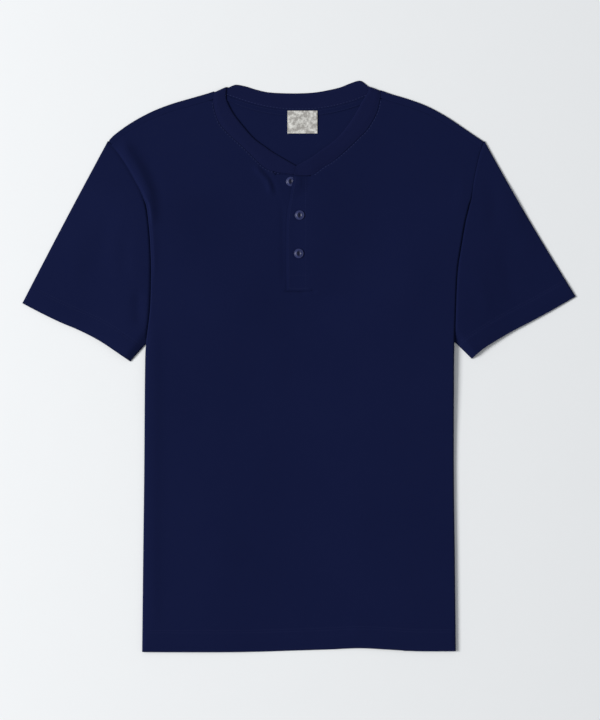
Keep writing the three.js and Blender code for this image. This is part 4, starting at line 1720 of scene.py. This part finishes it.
@dataclass
class Sleeve(Piece):
    """A flattened sleeve, sewn into a tube, with its head along the armhole."""

    forms: dict[Side, SleeveForm] = field(
        default_factory=lambda: {Side.LEFT: LEFT_SLEEVE, Side.RIGHT: RIGHT_SLEEVE}
    )
    hollow_slant: Span = (0.65, 0.76)
    rows: int = 84
    head_rows: tuple[float, ...] = (0.0, 0.004, 0.009)
    first_row: float = 0.016
    columns: int = 60
    fold: int = 8
    fold_share: float = 0.999

    # Shape of the head
    head_pitch: float = 10.0
    head_turn: float = 11.0
    head_points: int = 200
    head_dip: float = 0.6
    head_reach: float = 0.018

    # Rise of the upper layer beside the body, and its swell
    rise: float = 3.2
    rise_start: float = -1.2
    rise_top: float = 1.6
    rise_level: float = 2.0
    rise_end: float = 85.0
    rise_fade: float = 52.0
    rise_margin: float = 0.12
    plump: float = 1.3
    plump_power: float = 0.8
    plump_along: Span = (0.03, 0.5)
    crease_margin: float = 0.06

    # The cuff
    cuff_depth: float = 22.0
    cuff_step: float = 0.3
    cuff_blend: float = 2.0
    cuff_roll: float = 0.5
    cuff_round: float = 9.0

    layers: dict[Side, tuple[Points, Points]] = field(default_factory=dict)

    def ring(self, side: Side, depth: float) -> list[Points]:
        """Finds the line round the sleeve at a distance from its cuff.

        Args:
            side: Which side.
            depth: Distance from the cuff.

        Returns:
            The line round the sleeve at that distance, on the upper and on the lower layer.
        """
        lines = []
        for layer in self.layers[side]:
            step = np.linalg.norm(np.diff(layer, axis=0), axis=2)
            back = np.cumsum(step[::-1], axis=0)[::-1]
            columns = range(2, layer.shape[1] - 2)
            line = [
                [np.interp(-depth, -np.append(back[:, c], 0.0), layer[:, c, axis]) for axis in range(3)]
                for c in columns
            ]
            lines.append(np.array(line))
        return lines

    def head(self, side: Side) -> Points:
        """Draws the armhole end of the sleeve.

        Args:
            side: Which side.

        Returns:
            The armhole end: along the seam, then along the turned-under half of the armhole.
        """
        shape = self.shape
        shown = np.arange(shape.shoulder_tip_y + 1, shape.fold_start_y + shape.fold_fade, -self.head_pitch)
        points = [(float(shape.edge[side](y)) + shape.seam_gap, y) for y in shown]
        y = shape.fold_start_y + self.head_turn
        points.append((float(shape.edge[side](y)) + shape.seam_gap, y))
        for y, tuck in reversed(shape.hidden_armhole):
            points.append((float(shape.fold_centre(side, np.float64(y))) - tuck + shape.seam_gap, y))
        return evenly(spline(points, self.head_points), self.columns)

    def relief(self, side: Side, x: np.ndarray, y: np.ndarray, t: np.ndarray, s: np.ndarray) -> np.ndarray:
        """Adds up the soft relief of the upper layer.

        Args:
            side: Which side.
            x: Distances out from the centre line.
            y: Heights.
            t: Share of the way from the head to the cuff.
            s: Share of the way from the upper fold to the lower one.

        Returns:
            Soft relief of the upper layer.
        """
        shape = self.shape
        away = x - shape.edge[side](y)
        clear = smoothstep(away, self.rise_start, self.rise_top)
        clear = np.where(y > shape.fold_start_y + shape.fold_fade, 1.0, clear)
        swell = np.sin(np.pi * np.clip(s, 0, 1)) ** self.plump_power * smoothstep(t, *self.plump_along)
        soft = sum(crease(x, y) for crease in self.forms[side].creases)
        inside = smoothstep(np.minimum(s, 1 - s), 0.0, self.crease_margin)
        beside = 1 - smoothstep(away, self.rise_top + self.rise_level, self.rise_end)
        lifted = 1 - smoothstep(y - shape.fold_start_y, 0, self.rise_fade)
        beside = self.rise * beside * lifted * smoothstep(1 - s, 0.0, self.rise_margin)
        dip = self.head_dip * (1 - smoothstep(t, 0.0, self.head_reach))
        return (self.plump * swell + beside) * clear + soft * inside - dip

    def build(self, side: Side, finishes: Materials) -> Bench:
        """Builds the piece and ties it to the frame.

        Args:
            side: Which side.
            finishes: Materials by name.

        Returns:
            The finished sleeve.
        """
        shape = self.shape
        head = self.head(side)
        form = self.forms[side]
        cuff = spline(shape.cuff_line[side], self.columns)
        rows = np.concatenate([self.head_rows, np.linspace(self.first_row, 1, self.rows + 1)])
        t = rows[:, None]
        s = np.linspace(0, 1, self.columns + 1)[None, :]
        bulge = form.bulge * np.sin(np.pi * t) * (1 - s) ** 2
        hollow = form.hollow * np.sin(np.pi * t) * s**2
        shift = [bulge + hollow * self.hollow_slant[0], bulge / 2 + hollow * self.hollow_slant[1]]
        lines = lerp(head[None], cuff[None], t[..., None]) + np.stack(shift, axis=-1)
        inset = shape.back_fold + shape.cloth / 2

        def unit(v: Points) -> Points:
            """Returns: directions of length one."""
            return v / np.linalg.norm(v, axis=-1, keepdims=True)

        upper, lower = unit(lines[:, 0] - lines[:, 1]), unit(lines[:, -1] - lines[:, -2])
        lines[:, 0] -= upper * inset * self.fold_share
        lines[:, -1] -= lower * inset * self.fold_share
        radius, centre = shape.back_fold, shape.floor_layer + shape.back_fold
        tt, ss = np.broadcast_to(t, lines.shape[:2]), np.broadcast_to(s, lines.shape[:2])
        lift = self.relief(side, lines[..., 0], lines[..., 1], tt, ss)
        from_cuff = np.linalg.norm(lines - lines[-1:], axis=-1)
        past_hem = smoothstep(from_cuff - self.cuff_depth, -self.cuff_blend, self.cuff_blend)
        lift += self.cuff_step * (1 - past_hem)
        lift -= self.cuff_roll * (1 - smoothstep(from_cuff, 0, self.cuff_round))
        top = np.concatenate([lines, (centre + radius + lift)[..., None]], axis=-1)
        bottom = np.concatenate([lines, np.full(lines.shape[:2] + (1,), centre - radius)], axis=-1)[:, ::-1]

        def fold(at: Points, out: Points, up: int) -> Points:
            """Draws one fold of the sleeve, from layer to layer.

            Args:
                at: Points where it starts.
                out: Directions out of the sleeve.
                up: 1 or -1, the way in which it turns.

            Returns:
                The points of the fold.
            """
            angle = np.linspace(0, np.pi, self.fold + 1)[1:-1]
            flat = at[:, None] + out[:, None] * (radius * np.sin(angle))[None, :, None]
            z = centre + up * radius * np.cos(angle)
            return np.concatenate([flat, np.broadcast_to(z[None, :, None], flat.shape[:2] + (1,))], axis=-1)

        self.layers[side] = (top * (side.value, 1, 1), bottom * (side.value, 1, 1))
        rings = np.concatenate(
            [top, fold(lines[:, -1], lower, 1), bottom, fold(lines[:, 0], upper, -1)], axis=1
        )
        around = np.concatenate(
            [np.zeros((len(rings), 1)), np.cumsum(np.linalg.norm(np.diff(rings, axis=1), axis=2), axis=1)],
            axis=1,
        )
        run = np.concatenate([[0], np.cumsum(np.linalg.norm(np.diff(rings[:, 10], axis=0), axis=1))])
        pattern = np.stack([around, np.broadcast_to(run[:, None], around.shape)], axis=-1)
        rings[..., 0] *= side.value
        name = f"sleeve_{side.name.lower()}_cloth"
        bench = loft(name, rings, pattern, capped=False)
        flat_area = bench.area()
        bench.thicken(shape.wall).close()
        self.register(bench, [f"sleeve_{side.name.lower()}"], Slot.JERSEY, finishes["jersey"])
        return bench


@dataclass
class Neckband(Piece):
    """The doubled rib band, open at the front, its right end over its left."""

    wall: float = 1.3
    fold: float = 0.75
    fold_flat: float = 0.9
    seam_sink: float = 0.5
    seam_share: float = 0.32
    edge_lift: float = 0.4
    edge_share: float = 0.05
    edge_round: float = 7.0
    over: Span = (6.0, 46.0)
    over_lift: float = 1.6
    columns: int = 12
    turn: int = 10

    def _turn(self, a: Points, b: Points) -> Points:
        """Draws the band's turn from one stretch to the next.

        Args:
            a: Where it leaves.
            b: Where it arrives.

        Returns:
            The points between them.
        """
        angle = np.linspace(0, np.pi, self.turn + 1)[1:-1, None]
        points = lerp(a, b, angle / np.pi)
        points[:, 1] = max(a[1], b[1]) + self.fold * np.sin(angle[:, 0]) * self.fold_flat
        points[:, 2] = (a[2] + b[2]) / 2 + (a[2] - b[2]) / 2 * np.cos(angle[:, 0])
        return points

    def build(self, finishes: Materials) -> Bench:
        """Builds the piece and ties it to the frame.

        Args:
            finishes: Materials by name.

        Returns:
            The finished band.
        """
        low = self.wall / 2
        high = low + 2 * self.fold

        def edge(index: int) -> Points:
            """Returns: one edge of the band, all round; 0 is its seam and 1 its free edge."""
            left, back, right = (Band.edges(part)[index] for part in Stretch)
            climb = 1 - smoothstep(right[:, 0], *self.over)
            over = high + np.maximum(self.over_lift * climb, self.shape.edge_rise(right[:, 0], right[:, 1]))
            left = np.column_stack([left, np.full(len(left), high)])
            back = np.column_stack([back, np.full(len(back), low)])
            right = np.column_stack([right, over])
            turns = self._turn(left[-1], back[0]), self._turn(back[-1], right[0])
            return np.concatenate([left, turns[0], back, turns[1], right])

        seam, free = edge(0), edge(1)
        share = (1 - np.cos(np.linspace(0, np.pi, self.columns + 1))) / 2
        middle = lerp(seam[:, None], free[:, None], share[None, :, None])
        lifted = smoothstep(middle[..., 2], low + self.fold, high)
        middle[..., 2] -= self.seam_sink * lifted * (1 - smoothstep(share, 0, self.seam_share))[None]
        across = np.gradient(middle, axis=1)
        along = np.gradient(middle, axis=0)
        normal = np.cross(across, along)
        normal /= np.linalg.norm(normal, axis=-1, keepdims=True)
        middle[..., 2] += self.edge_lift * lifted * np.exp(-((share / self.edge_share) ** 2))[None]
        half = self.wall / 2 * (1 - np.abs(2 * share - 1) ** self.edge_round) ** 0.5
        top = middle + normal * half[None, :, None]
        bottom = (middle - normal * half[None, :, None])[:, 1:-1][:, ::-1]
        rings = np.concatenate([top, bottom], axis=1)
        run = np.concatenate([[0], np.cumsum(np.linalg.norm(np.diff(middle.mean(axis=1), axis=0), axis=1))])
        width = np.linalg.norm(free - seam, axis=1).mean()
        place = np.concatenate([share, share[1:-1][::-1]]) * width
        pattern = np.stack(np.broadcast_arrays(run[:, None], place[None]), axis=-1)
        bench = loft("neckband_rib", rings, pattern).close()
        self.register(bench, ["neckband"], Slot.RIB, finishes["neck_rib"])
        return bench


@dataclass
class Placket(Piece):
    """The two strips sewn in the slot."""

    top_left: float = -15.9
    top_right: float = 15.1
    top_foot: float = 94.5
    top_head: float = 237.6
    # Height and place of the top strip's left edge
    top_slant: Table = ((178, -15.9), (194, -14.4), (209, -11.9), (226, -9), (237.6, -6.9))
    under_gap: float = 0.03
    under_head: Span = (239.4, -29.6)
    grid: tuple[int, int] = (150, 40)

    @property
    def top_edge(self) -> Curve:
        """Returns: the top strip's left edge."""
        return Curve(*zip((self.top_foot, self.top_left), *self.top_slant))

    def top_place(self, x: np.ndarray, y: np.ndarray) -> Points:
        """Lays the top strip.

        Args:
            x: Places across.
            y: Places along.

        Returns:
            Middle of the top strip.
        """
        return self.shape.top_strip(x, y, self.top_edge(y), self.top_right, self.top_foot)

    def _strip(self, name: str, left: Callable, right: float, ends: Span, place: Place) -> Bench:
        """Makes one strip of the placket.

        Args:
            name: Name of the object.
            left: Place of its left edge at each height.
            right: Place of its right edge.
            ends: Heights of its foot and its head.
            place: Where each flat point goes.

        Returns:
            The bench with it.
        """
        rows, columns = self.grid
        y = np.linspace(*ends, rows)
        edge = left(y)
        x = lerp(edge[:, None], right, np.linspace(0, 1, columns)[None])
        yy = np.broadcast_to(y[:, None], x.shape)
        bench = grid_sheet(name, place(x, yy), np.stack([x, yy], axis=-1))
        return bench.thicken(self.shape.wall).close()

    def build(self, finishes: Materials) -> None:
        """Builds the piece and ties it to the frame.

        Args:
            finishes: Materials by name.
        """
        shape = self.shape
        slant = [(y, x + self.under_gap) for x, y in shape.slot_slant[:3]] + [self.under_head]
        foot = shape.slot_foot + shape.seam_gap
        heights, places = zip((foot, slant[0][1]), *slant)
        under = self._strip(
            "placket_under_cloth", lambda y: np.interp(y, heights, places), shape.slot_right - shape.seam_gap,
            (foot, self.under_head[0]), shape.under_strip,
        )
        self.register(under, ["placket_under"], Slot.JERSEY, finishes["jersey"])
        ends = (self.top_foot, self.top_head)
        top = self._strip("placket_top_cloth", self.top_edge, self.top_right, ends, self.top_place)
        self.register(top, ["placket_top"], Slot.JERSEY, finishes["jersey"])


@dataclass
class NeckInside(Piece):
    """Tape along the back neck seam, and the label that hangs over it."""

    wall: float = 0.6
    tape_left: float = -90.0
    tape_right: float = 81.0
    tape_width: float = 6.5
    tape_below: float = 0.3
    tape_above: float = 0.75
    tape_grid: tuple[int, int] = (9, 90)
    label_above: float = 0.35
    label_climb: float = 0.4
    label_slope: Span = (-10.0, -2.0)
    label_grid: tuple[int, int] = (24, 28)
    left: float = -14.4
    right: float = 22.9
    foot: float = 291.3
    head: float = 319.6

    def on_back(self, x: np.ndarray, y: np.ndarray) -> Points:
        """Lays a thin cloth on the back.

        Args:
            x: Places across.
            y: Places along.

        Returns:
            Middle of a thin cloth that lies on the back.
        """
        points = self.shape.back(x, y)
        points[..., 2] += self.tape_above
        return points

    def label_place(self, x: np.ndarray, y: np.ndarray) -> Points:
        """Lays the label.

        Args:
            x: Places across.
            y: Places along.

        Returns:
            Middle of the label, which climbs onto the tape.
        """
        points = self.on_back(x, y)
        foot = self.shape.neck_low - self.tape_width
        points[..., 2] += self.label_above + self.label_climb * smoothstep(y - foot, *self.label_slope)
        return points

    def build(self, finishes: Materials) -> None:
        """Builds the piece and ties it to the frame.

        Args:
            finishes: Materials by name.
        """
        rows, columns = self.tape_grid
        x = np.linspace(self.tape_left, self.tape_right, columns)[None, :]
        t = np.linspace(0, 1, rows)[:, None]
        x, t = np.broadcast_arrays(x, t)
        y = self.shape.back_neck(x) - self.tape_below - self.tape_width * (1 - t)
        tape = grid_sheet("neck_tape_cloth", self.on_back(x, y), np.stack([x, y], axis=-1))
        tape.thicken(self.wall).close()
        self.register(tape, ["neck_tape"], Slot.TAPE, finishes["neck_tape"])
        rows, columns = self.label_grid
        x = np.linspace(self.left, self.right, columns)[None, :]
        y = np.linspace(self.foot, self.head, rows)[:, None]
        x, y = np.broadcast_arrays(x, y)
        label = grid_sheet("neck_label_cloth", self.label_place(x, y), np.stack([x, y], axis=-1))
        label.thicken(self.wall).close()
        self.register(label, ["neck_label"], Slot.LABEL, finishes["label"])


@dataclass(frozen=True)
class ButtonPlace:
    """Where one button sits.

    Attributes:
        name: Name of its solid.
        x: Place across.
        y: Place along.
        fastened: Whether it sits on the top strip.
    """

    name: str
    x: float
    y: float
    fastened: bool


@dataclass
class Buttons(Piece):
    """Dished buttons with a raised rim, an oval eye and two holes."""

    places: tuple[ButtonPlace, ...] = (
        ButtonPlace("button_top", -10.2, 231, False),
        ButtonPlace("button_middle", 0.8, 189, True),
        ButtonPlace("button_bottom", -0.2, 141, True),
    )
    # Distance from the middle and height of each ring, from the underside round to the eye
    profile: Table = (
        (0.0, 0.0), (4.5, 0.0), (5.3, 0.2), (5.85, 0.6), (6.0, 1.0), (5.9, 1.3), (5.65, 1.5), (5.3, 1.56),
        (4.95, 1.46), (4.7, 1.42), (4.45, 1.56), (4.15, 1.8), (3.85, 1.94), (3.55, 1.93), (3.3, 1.78),
        (3.1, 1.46), (2.9, 1.18), (2.6, 1.04), (2.0, 0.98), (0.0, 0.96),
    )
    sides: int = 56
    hole: float = 0.62
    hole_sides: int = 20
    hole_depth: float = 10.0
    apart: float = 2.3
    eye_narrow: float = 0.62
    eye_span: Span = (2.9, 4.9)
    outer_rows: int = 7
    clear: float = 0.08

    def seat(self, place: ButtonPlace) -> float:
        """Finds the height at which a button sits.

        Args:
            place: Where the button sits.

        Returns:
            Height of its underside.
        """
        on = Placket(self.shape).top_place if place.fastened else self.shape.under_strip
        middle = on(np.float64(place.x), np.float64(place.y))
        return float(middle[2]) + self.shape.wall / 2 + self.clear

    def build(self, finishes: Materials) -> None:
        """Builds the piece and ties it to the frame.

        Args:
            finishes: Materials by name.
        """
        for place in self.places:
            seat = self.seat(place)
            profile = np.array(self.profile)
            angle = np.linspace(0, 2 * np.pi, self.sides, endpoint=False)
            inner = profile[1:-1]
            narrow = lerp(self.eye_narrow, 1.0, smoothstep(inner[:, 0], *self.eye_span))
            narrow = np.where(np.arange(len(inner)) < self.outer_rows, 1.0, narrow)
            rings = np.stack(
                [
                    np.outer(np.cos(angle), inner[:, 0] * narrow) + place.x,
                    np.outer(np.sin(angle), inner[:, 0]) + place.y,
                    np.broadcast_to(inner[:, 1], (self.sides, len(inner))) + seat,
                ],
                axis=-1,
            ).transpose(1, 0, 2)
            bench = loft(f"{place.name}_resin", rings, rings[..., :2] - (place.x, place.y))
            for sign in (-1, 1):
                bpy.ops.mesh.primitive_cylinder_add(
                    vertices=self.hole_sides, radius=self.hole * METRE, depth=self.hole_depth * METRE,
                    location=(place.x * METRE, (place.y + sign * self.apart / 2) * METRE, seat * METRE),
                )
                cutter = bpy.context.active_object
                bench.modify("BOOLEAN", operation="DIFFERENCE", object=cutter, solver="EXACT")
                bpy.data.objects.remove(cutter)
            bench.close()
            self.register(bench, [place.name], Slot.BUTTON, finishes["button"])


# Sewing


@dataclass(frozen=True)
class Stitch:
    """One kind of stitch.

    Attributes:
        length: Length of a stitch.
        pitch: Distance from one stitch to the next.
        width: Width of the thread.
        height: Height of the thread.
    """

    length: float = 2.1
    pitch: float = 3.0
    width: float = 0.5
    height: float = 0.34


Row = tuple[Points, Points, Stitch]


@dataclass
class Sewing(Piece):
    """Rows of stitches, each a small rounded bead of thread."""

    segments: int = 8
    rings: int = 5
    plain: Stitch = Stitch()
    bold: Stitch = Stitch(2.3, 4.0, 0.95, 0.5)
    satin: Stitch = Stitch(1.3, 0.55, 0.5, 0.3)
    fine: Stitch = Stitch(1.2, 1.8, 0.35, 0.25)

    # Hem and cuffs
    twin: float = 3.0
    hem_inset: float = 6.0
    hem_points: int = 200
    above_floor: float = 0.1
    under_below: float = 0.3

    # Neck
    beside_seam: float = 1.5
    front_reach: dict[Side, float] = field(default_factory=lambda: {Side.LEFT: -24.0, Side.RIGHT: 18.0})
    shoulder_clear: float = 2.0
    back_share: float = 0.07
    back_sunk: float = 0.12
    back_ends: int = 4

    # Placket
    placket_ends: Span = (97.0, 236.0)
    left_inset: float = 3.6
    right_row: float = 8.4
    box_half: float = 12.4
    box_rows: Span = (97.2, 113.8)
    buttonhole: float = 14.0
    buttonhole_side: float = 0.75
    buttonhole_points: int = 40
    buttonhole_places: Table = ((0.8, 189.0), (-0.2, 141.0), (1.6, 229.0))

    # Tape, label and buttons
    tape_ends: Span = (-80.0, 72.0)
    tape_inset: Span = (1.2, 0.7)
    label_inset: float = 1.2
    label_ends: Span = (1.0, 2.0)
    thread_height: float = 1.02
    thread_apart: float = 0.3
    thread_past: float = 0.5
    thread_width: float = 0.5

    def row(self, line: Points, stitch: Stitch) -> Row:
        """Divides a line into stitches.

        Args:
            line: Points along a row, millimetres.
            stitch: Its kind.

        Returns:
            Middle and direction of each stitch, and their kind.
        """
        run = float(np.sum(np.linalg.norm(np.diff(line, axis=0), axis=1)))
        count = max(1, round(run / stitch.pitch))
        ends = evenly(line, 2 * count)
        return ends[1::2], ends[2::2] - ends[:-2:2], stitch

    def sew(self, name: str, slot: Slot, material: bpy.types.Material, rows: Sequence[Row]) -> None:
        """Makes one object of several rows.

        Args:
            name: Name of the object.
            slot: Its material slot.
            material: Its finish.
            rows: Middles, directions and kind of stitch of each row.
        """
        middles = np.concatenate([row[0] for row in rows])
        along = np.concatenate([row[1] for row in rows])
        size = np.concatenate([np.tile((s.length, s.width, s.height), (len(m), 1)) for m, _, s in rows]) / 2
        along = along / np.linalg.norm(along, axis=1, keepdims=True)
        side = np.cross((0.0, 0.0, 1.0), along)
        side /= np.linalg.norm(side, axis=1, keepdims=True)
        up = np.cross(along, side)
        bpy.ops.mesh.primitive_uv_sphere_add(segments=self.segments, ring_count=self.rings, radius=1)
        bench = Bench(named(name))
        bench.modify("ARRAY", count=len(middles), relative_offset_displace=(2.0, 0.0, 0.0))
        ball = bench.points().reshape(len(middles), -1, 3)[0]
        spread = ball[None] * size[:, None]
        points = (
            middles[:, None]
            + spread[..., :1] * along[:, None]
            + spread[..., 1:2] * side[:, None]
            + spread[..., 2:] * up[:, None]
        )
        flat = np.stack([np.broadcast_to(ball[None, :, 0], spread.shape[:2]), spread[..., 1]], axis=-1)
        bench.write_pattern(flat.reshape(-1, 2))
        bench.move_points(points.reshape(-1, 3) * METRE).close()
        self.register(bench, [], slot, material)

    def on(self, x: np.ndarray, y: np.ndarray, place: Place, above: float) -> Points:
        """Lays a row on a cloth.

        Args:
            x: Places across.
            y: Places along.
            place: Middle of the cloth.
            above: Height of the row above that middle.

        Returns:
            Points of a row on the cloth.
        """
        x, y = np.broadcast_arrays(np.asarray(x, float), np.asarray(y, float))
        points = place(x, y)
        points[..., 2] += above
        return points

    def hem(self) -> list[Row]:
        """Returns: the twin rows above the hem, on the front and under the back."""
        shape, rows = self.shape, []
        surface = shape.wall / 2
        y0 = shape.hem_bottom + shape.hem_depth
        half = {side: float(shape.edge[side](y0)) - self.hem_inset for side in Side}
        x = np.linspace(-half[Side.LEFT], half[Side.RIGHT], self.hem_points)
        inner = x[np.abs(x) < half[Side.LEFT] - shape.seam_at_hem]
        for depth in (shape.hem_depth, shape.hem_depth + self.twin):
            rows.append(self.row(self.on(x, shape.hem(x) + depth, shape.front, surface), self.plain))
            under = self.on(inner, shape.hem(inner) + depth, shape.back, self.above_floor - surface)
            rows.append(self.row(under, self.plain))
        return rows

    def neck(self) -> list[Row]:
        """Returns: the row beside the neckband's seam on the front, and the one on the band at the back."""
        shape, rows = self.shape, []
        front = FrontPanel(shape, shape.front_layer).beside_placket
        for part, side in ((Stretch.LEFT, Side.LEFT), (Stretch.RIGHT, Side.RIGHT)):
            line = Band.outside(part, self.beside_seam)
            keep = line[:, 0] * side.value > self.front_reach[side] * side.value
            top = shape.top[side](np.abs(line[:, 0])) - shape.forward_seam - self.shoulder_clear
            line = line[keep & (line[:, 1] < top)]
            rows.append(self.row(self.on(line[:, 0], line[:, 1], front, shape.wall / 2), self.bold))
        seam, free = Band.edges(Stretch.BACK)
        line = seam + (free - seam) * self.back_share
        row = np.column_stack([line, np.full(len(line), Neckband.wall - self.back_sunk)])
        rows.append(self.row(row[self.back_ends : -self.back_ends], self.bold))
        return rows

    def placket(self) -> list[Row]:
        """Returns: the rows along the top strip and round its box."""
        strip, surface = Placket(self.shape), self.shape.wall / 2
        up, right_up = (np.linspace(*self.placket_ends, count) for count in (120, 80))
        across = np.linspace(-self.box_half, self.box_half, 30)
        lines = [(strip.top_edge(up) + self.left_inset, up), (np.full(80, self.right_row), right_up)]
        lines += [(across, np.full(30, y)) for y in self.box_rows]
        return [self.row(self.on(x, y, strip.top_place, surface), self.plain) for x, y in lines]

    def buttonholes(self) -> list[Row]:
        """Returns: the close stitches on both sides of each buttonhole."""
        strip, surface = Placket(self.shape), self.shape.wall / 2
        count = self.buttonhole_points
        rows = []
        for x, y in self.buttonhole_places:
            span = np.linspace(y - self.buttonhole / 2, y + self.buttonhole / 2, count)
            for side in (-self.buttonhole_side, self.buttonhole_side):
                line = self.on(np.full(count, x + side), span, strip.top_place, surface)
                middles = self.row(line, self.satin)[0]
                rows.append((middles, np.tile((1.0, 0.0, 0.0), (len(middles), 1)), self.satin))
        return rows

    def tape(self) -> list[Row]:
        """Returns: the rows along both edges of the neck tape."""
        inside = NeckInside(self.shape)
        rows = []
        for down in (self.tape_inset[0], inside.tape_width - self.tape_inset[1]):
            x = np.linspace(*self.tape_ends, 120)
            line = self.on(x, self.shape.back_neck(x) - down, inside.on_back, inside.wall / 2)
            rows.append(self.row(line, self.plain))
        return rows

    def label(self) -> list[Row]:
        """Returns: the rows at the label's two sides and along its top."""
        inside = NeckInside(self.shape)
        inset, (up, along) = self.label_inset, self.label_ends
        side = np.linspace(inside.foot + up, inside.head - up, 12)
        top = np.linspace(inside.left + along, inside.right - along, 20)
        lines = [(np.full(12, x), side) for x in (inside.left + inset, inside.right - inset)]
        lines.append((top, np.full(20, inside.head - inset)))
        return [self.row(self.on(x, y, inside.label_place, inside.wall / 2), self.fine) for x, y in lines]

    def cuff(self, sleeve: Sleeve, side: Side) -> list[Row]:
        """Draws the rows of a cuff.

        Args:
            sleeve: The sleeve.
            side: Which side.

        Returns:
            The twin rows above its cuff, on the upper layer and under the lower one.
        """
        rows = []
        surface = self.shape.wall / 2
        for depth in (sleeve.cuff_depth, sleeve.cuff_depth + self.twin):
            for line in sleeve.ring(side, depth):
                under = line[:, 2].mean() < self.shape.floor_layer + self.under_below
                line[:, 2] += self.above_floor - surface if under else surface
                rows.append(self.row(line, self.plain))
        return rows

    def button_threads(self) -> list[Row]:
        """Returns: the thread from hole to hole of each button."""
        buttons = Buttons(self.shape)
        stitch = Stitch(buttons.apart + self.thread_past, 0.0, self.thread_width, self.thread_width)
        up = np.array([(0.0, 1.0, 0.0)])
        rows = []
        for place in buttons.places:
            height = buttons.seat(place) + self.thread_height
            for x in (-self.thread_apart, self.thread_apart):
                rows.append((np.array([(place.x + x, place.y, height)]), up, stitch))
        return rows

    def build(self, finishes: Materials, sleeves: dict[Side, Sleeve]) -> None:
        """Sews every row.

        Args:
            finishes: Materials by name.
            sleeves: The sleeves by side.
        """
        # The lighter thread colours paint glints of light on the stitches.
        thread = finishes["thread"]
        self.sew("hem_stitches", Slot.JERSEY, thread, self.hem())
        for side, sleeve in sleeves.items():
            self.sew(f"cuff_{side.name.lower()}_stitches", Slot.JERSEY, thread, self.cuff(sleeve, side))
        self.sew("neck_stitches", Slot.RIB, finishes["neck_thread"], self.neck())
        self.sew("placket_stitches", Slot.JERSEY, thread, self.placket())
        self.sew("buttonhole_stitches", Slot.JERSEY, finishes["jersey"], self.buttonholes())
        self.sew("tape_stitches", Slot.TAPE, thread, self.tape())
        self.sew("label_stitches", Slot.LABEL, finishes["label"], self.label())
        self.sew("button_threads", Slot.JERSEY, finishes["button_thread"], self.button_threads())


# The studio


@dataclass(frozen=True)
class Studio:
    """Pale surface, soft light and the camera straight above.

    Attributes:
        centre: Place that the camera looks at, millimetres.
        height: Height of the camera, metres.
        seen: Length of the surface that the picture's height shows, metres.
        cloth_height: Height at which that length is measured, metres.
        sensor: Height of the sensor, millimetres.
        floor_size: Side of the surface, metres.
        key_place: Place of the lamp, metres.
        key_size: Side of the lamp, metres.
        key_power: Its power, watts.
        sky: Colour of the light from all sides.
        sky_strength: Its strength.
    """

    centre: Span = (1.25, 7.9)
    height: float = 2.6
    seen: float = 0.900
    cloth_height: float = 0.003
    sensor: float = 24.0
    floor_size: float = 6.0
    key_place: tuple[float, float, float] = (-5.3, 0.4, 3.75)
    key_size: float = 2.5
    key_power: float = 470.0
    sky: tuple[float, float, float] = (0.93, 0.96, 1.0)
    sky_strength: float = 0.40

    def build(self, floor: bpy.types.Material) -> None:
        """Sets up the surface, the lamp and the camera.

        Args:
            floor: Finish of the surface.
        """
        bpy.ops.mesh.primitive_plane_add(size=self.floor_size, location=(0, 0, 0))
        surface = named("floor")
        surface.data.materials.append(floor)
        self._light("key", self.key_place, self.key_size, self.key_power)
        world = bpy.data.worlds.new("world")
        world.use_nodes = True
        background = world.node_tree.nodes["Background"]
        background.inputs[0].default_value = (*self.sky, 1)
        background.inputs[1].default_value = self.sky_strength
        scene = bpy.context.scene
        scene.world = world
        scene.view_settings.view_transform = "Standard"
        camera = bpy.data.cameras.new("camera")
        camera.sensor_fit = "VERTICAL"
        camera.sensor_height = self.sensor
        camera.lens = self.sensor * (self.height - self.cloth_height) / self.seen
        eye = bpy.data.objects.new("camera", camera)
        eye.location = (self.centre[0] * METRE, self.centre[1] * METRE, self.height)
        scene.collection.objects.link(eye)
        scene.camera = eye

    def _light(self, name: str, place: tuple[float, float, float], size: float, power: float) -> None:
        """Adds a soft square lamp that looks at the shirt.

        Args:
            name: Name of the lamp.
            place: Its place, metres.
            size: Its side, metres.
            power: Its power, watts.
        """
        bpy.ops.object.light_add(type="AREA", location=place)
        light = bpy.context.active_object
        light.name = name
        light.data.size = size
        light.data.energy = power
        light.rotation_euler = (-Vector(place)).to_track_quat("-Z", "Y").to_euler()


class Shirt:
    """The whole shirt."""

    def build(self) -> None:
        """Builds every piece and the studio."""
        finishes = {f.name: f.material() for f in vars(Finishes()).values()}
        shape = ShirtShape()
        FrontPanel(shape, shape.front_layer).build(finishes)
        BackPanel(shape, shape.back_layer).build(finishes)
        sleeves = {side: Sleeve(shape) for side in Side}
        for side, sleeve in sleeves.items():
            sleeve.build(side, finishes)
        Neckband(shape).build(finishes)
        Placket(shape).build(finishes)
        NeckInside(shape).build(finishes)
        Buttons(shape).build(finishes)
        Sewing(shape).build(finishes, sleeves)
        Studio().build(finishes["floor"])


def main() -> None:
    """Builds the scene."""
    logging.basicConfig(level=logging.INFO, format="%(message)s")
    Shirt().build()


if __name__ == "__main__":
    main()
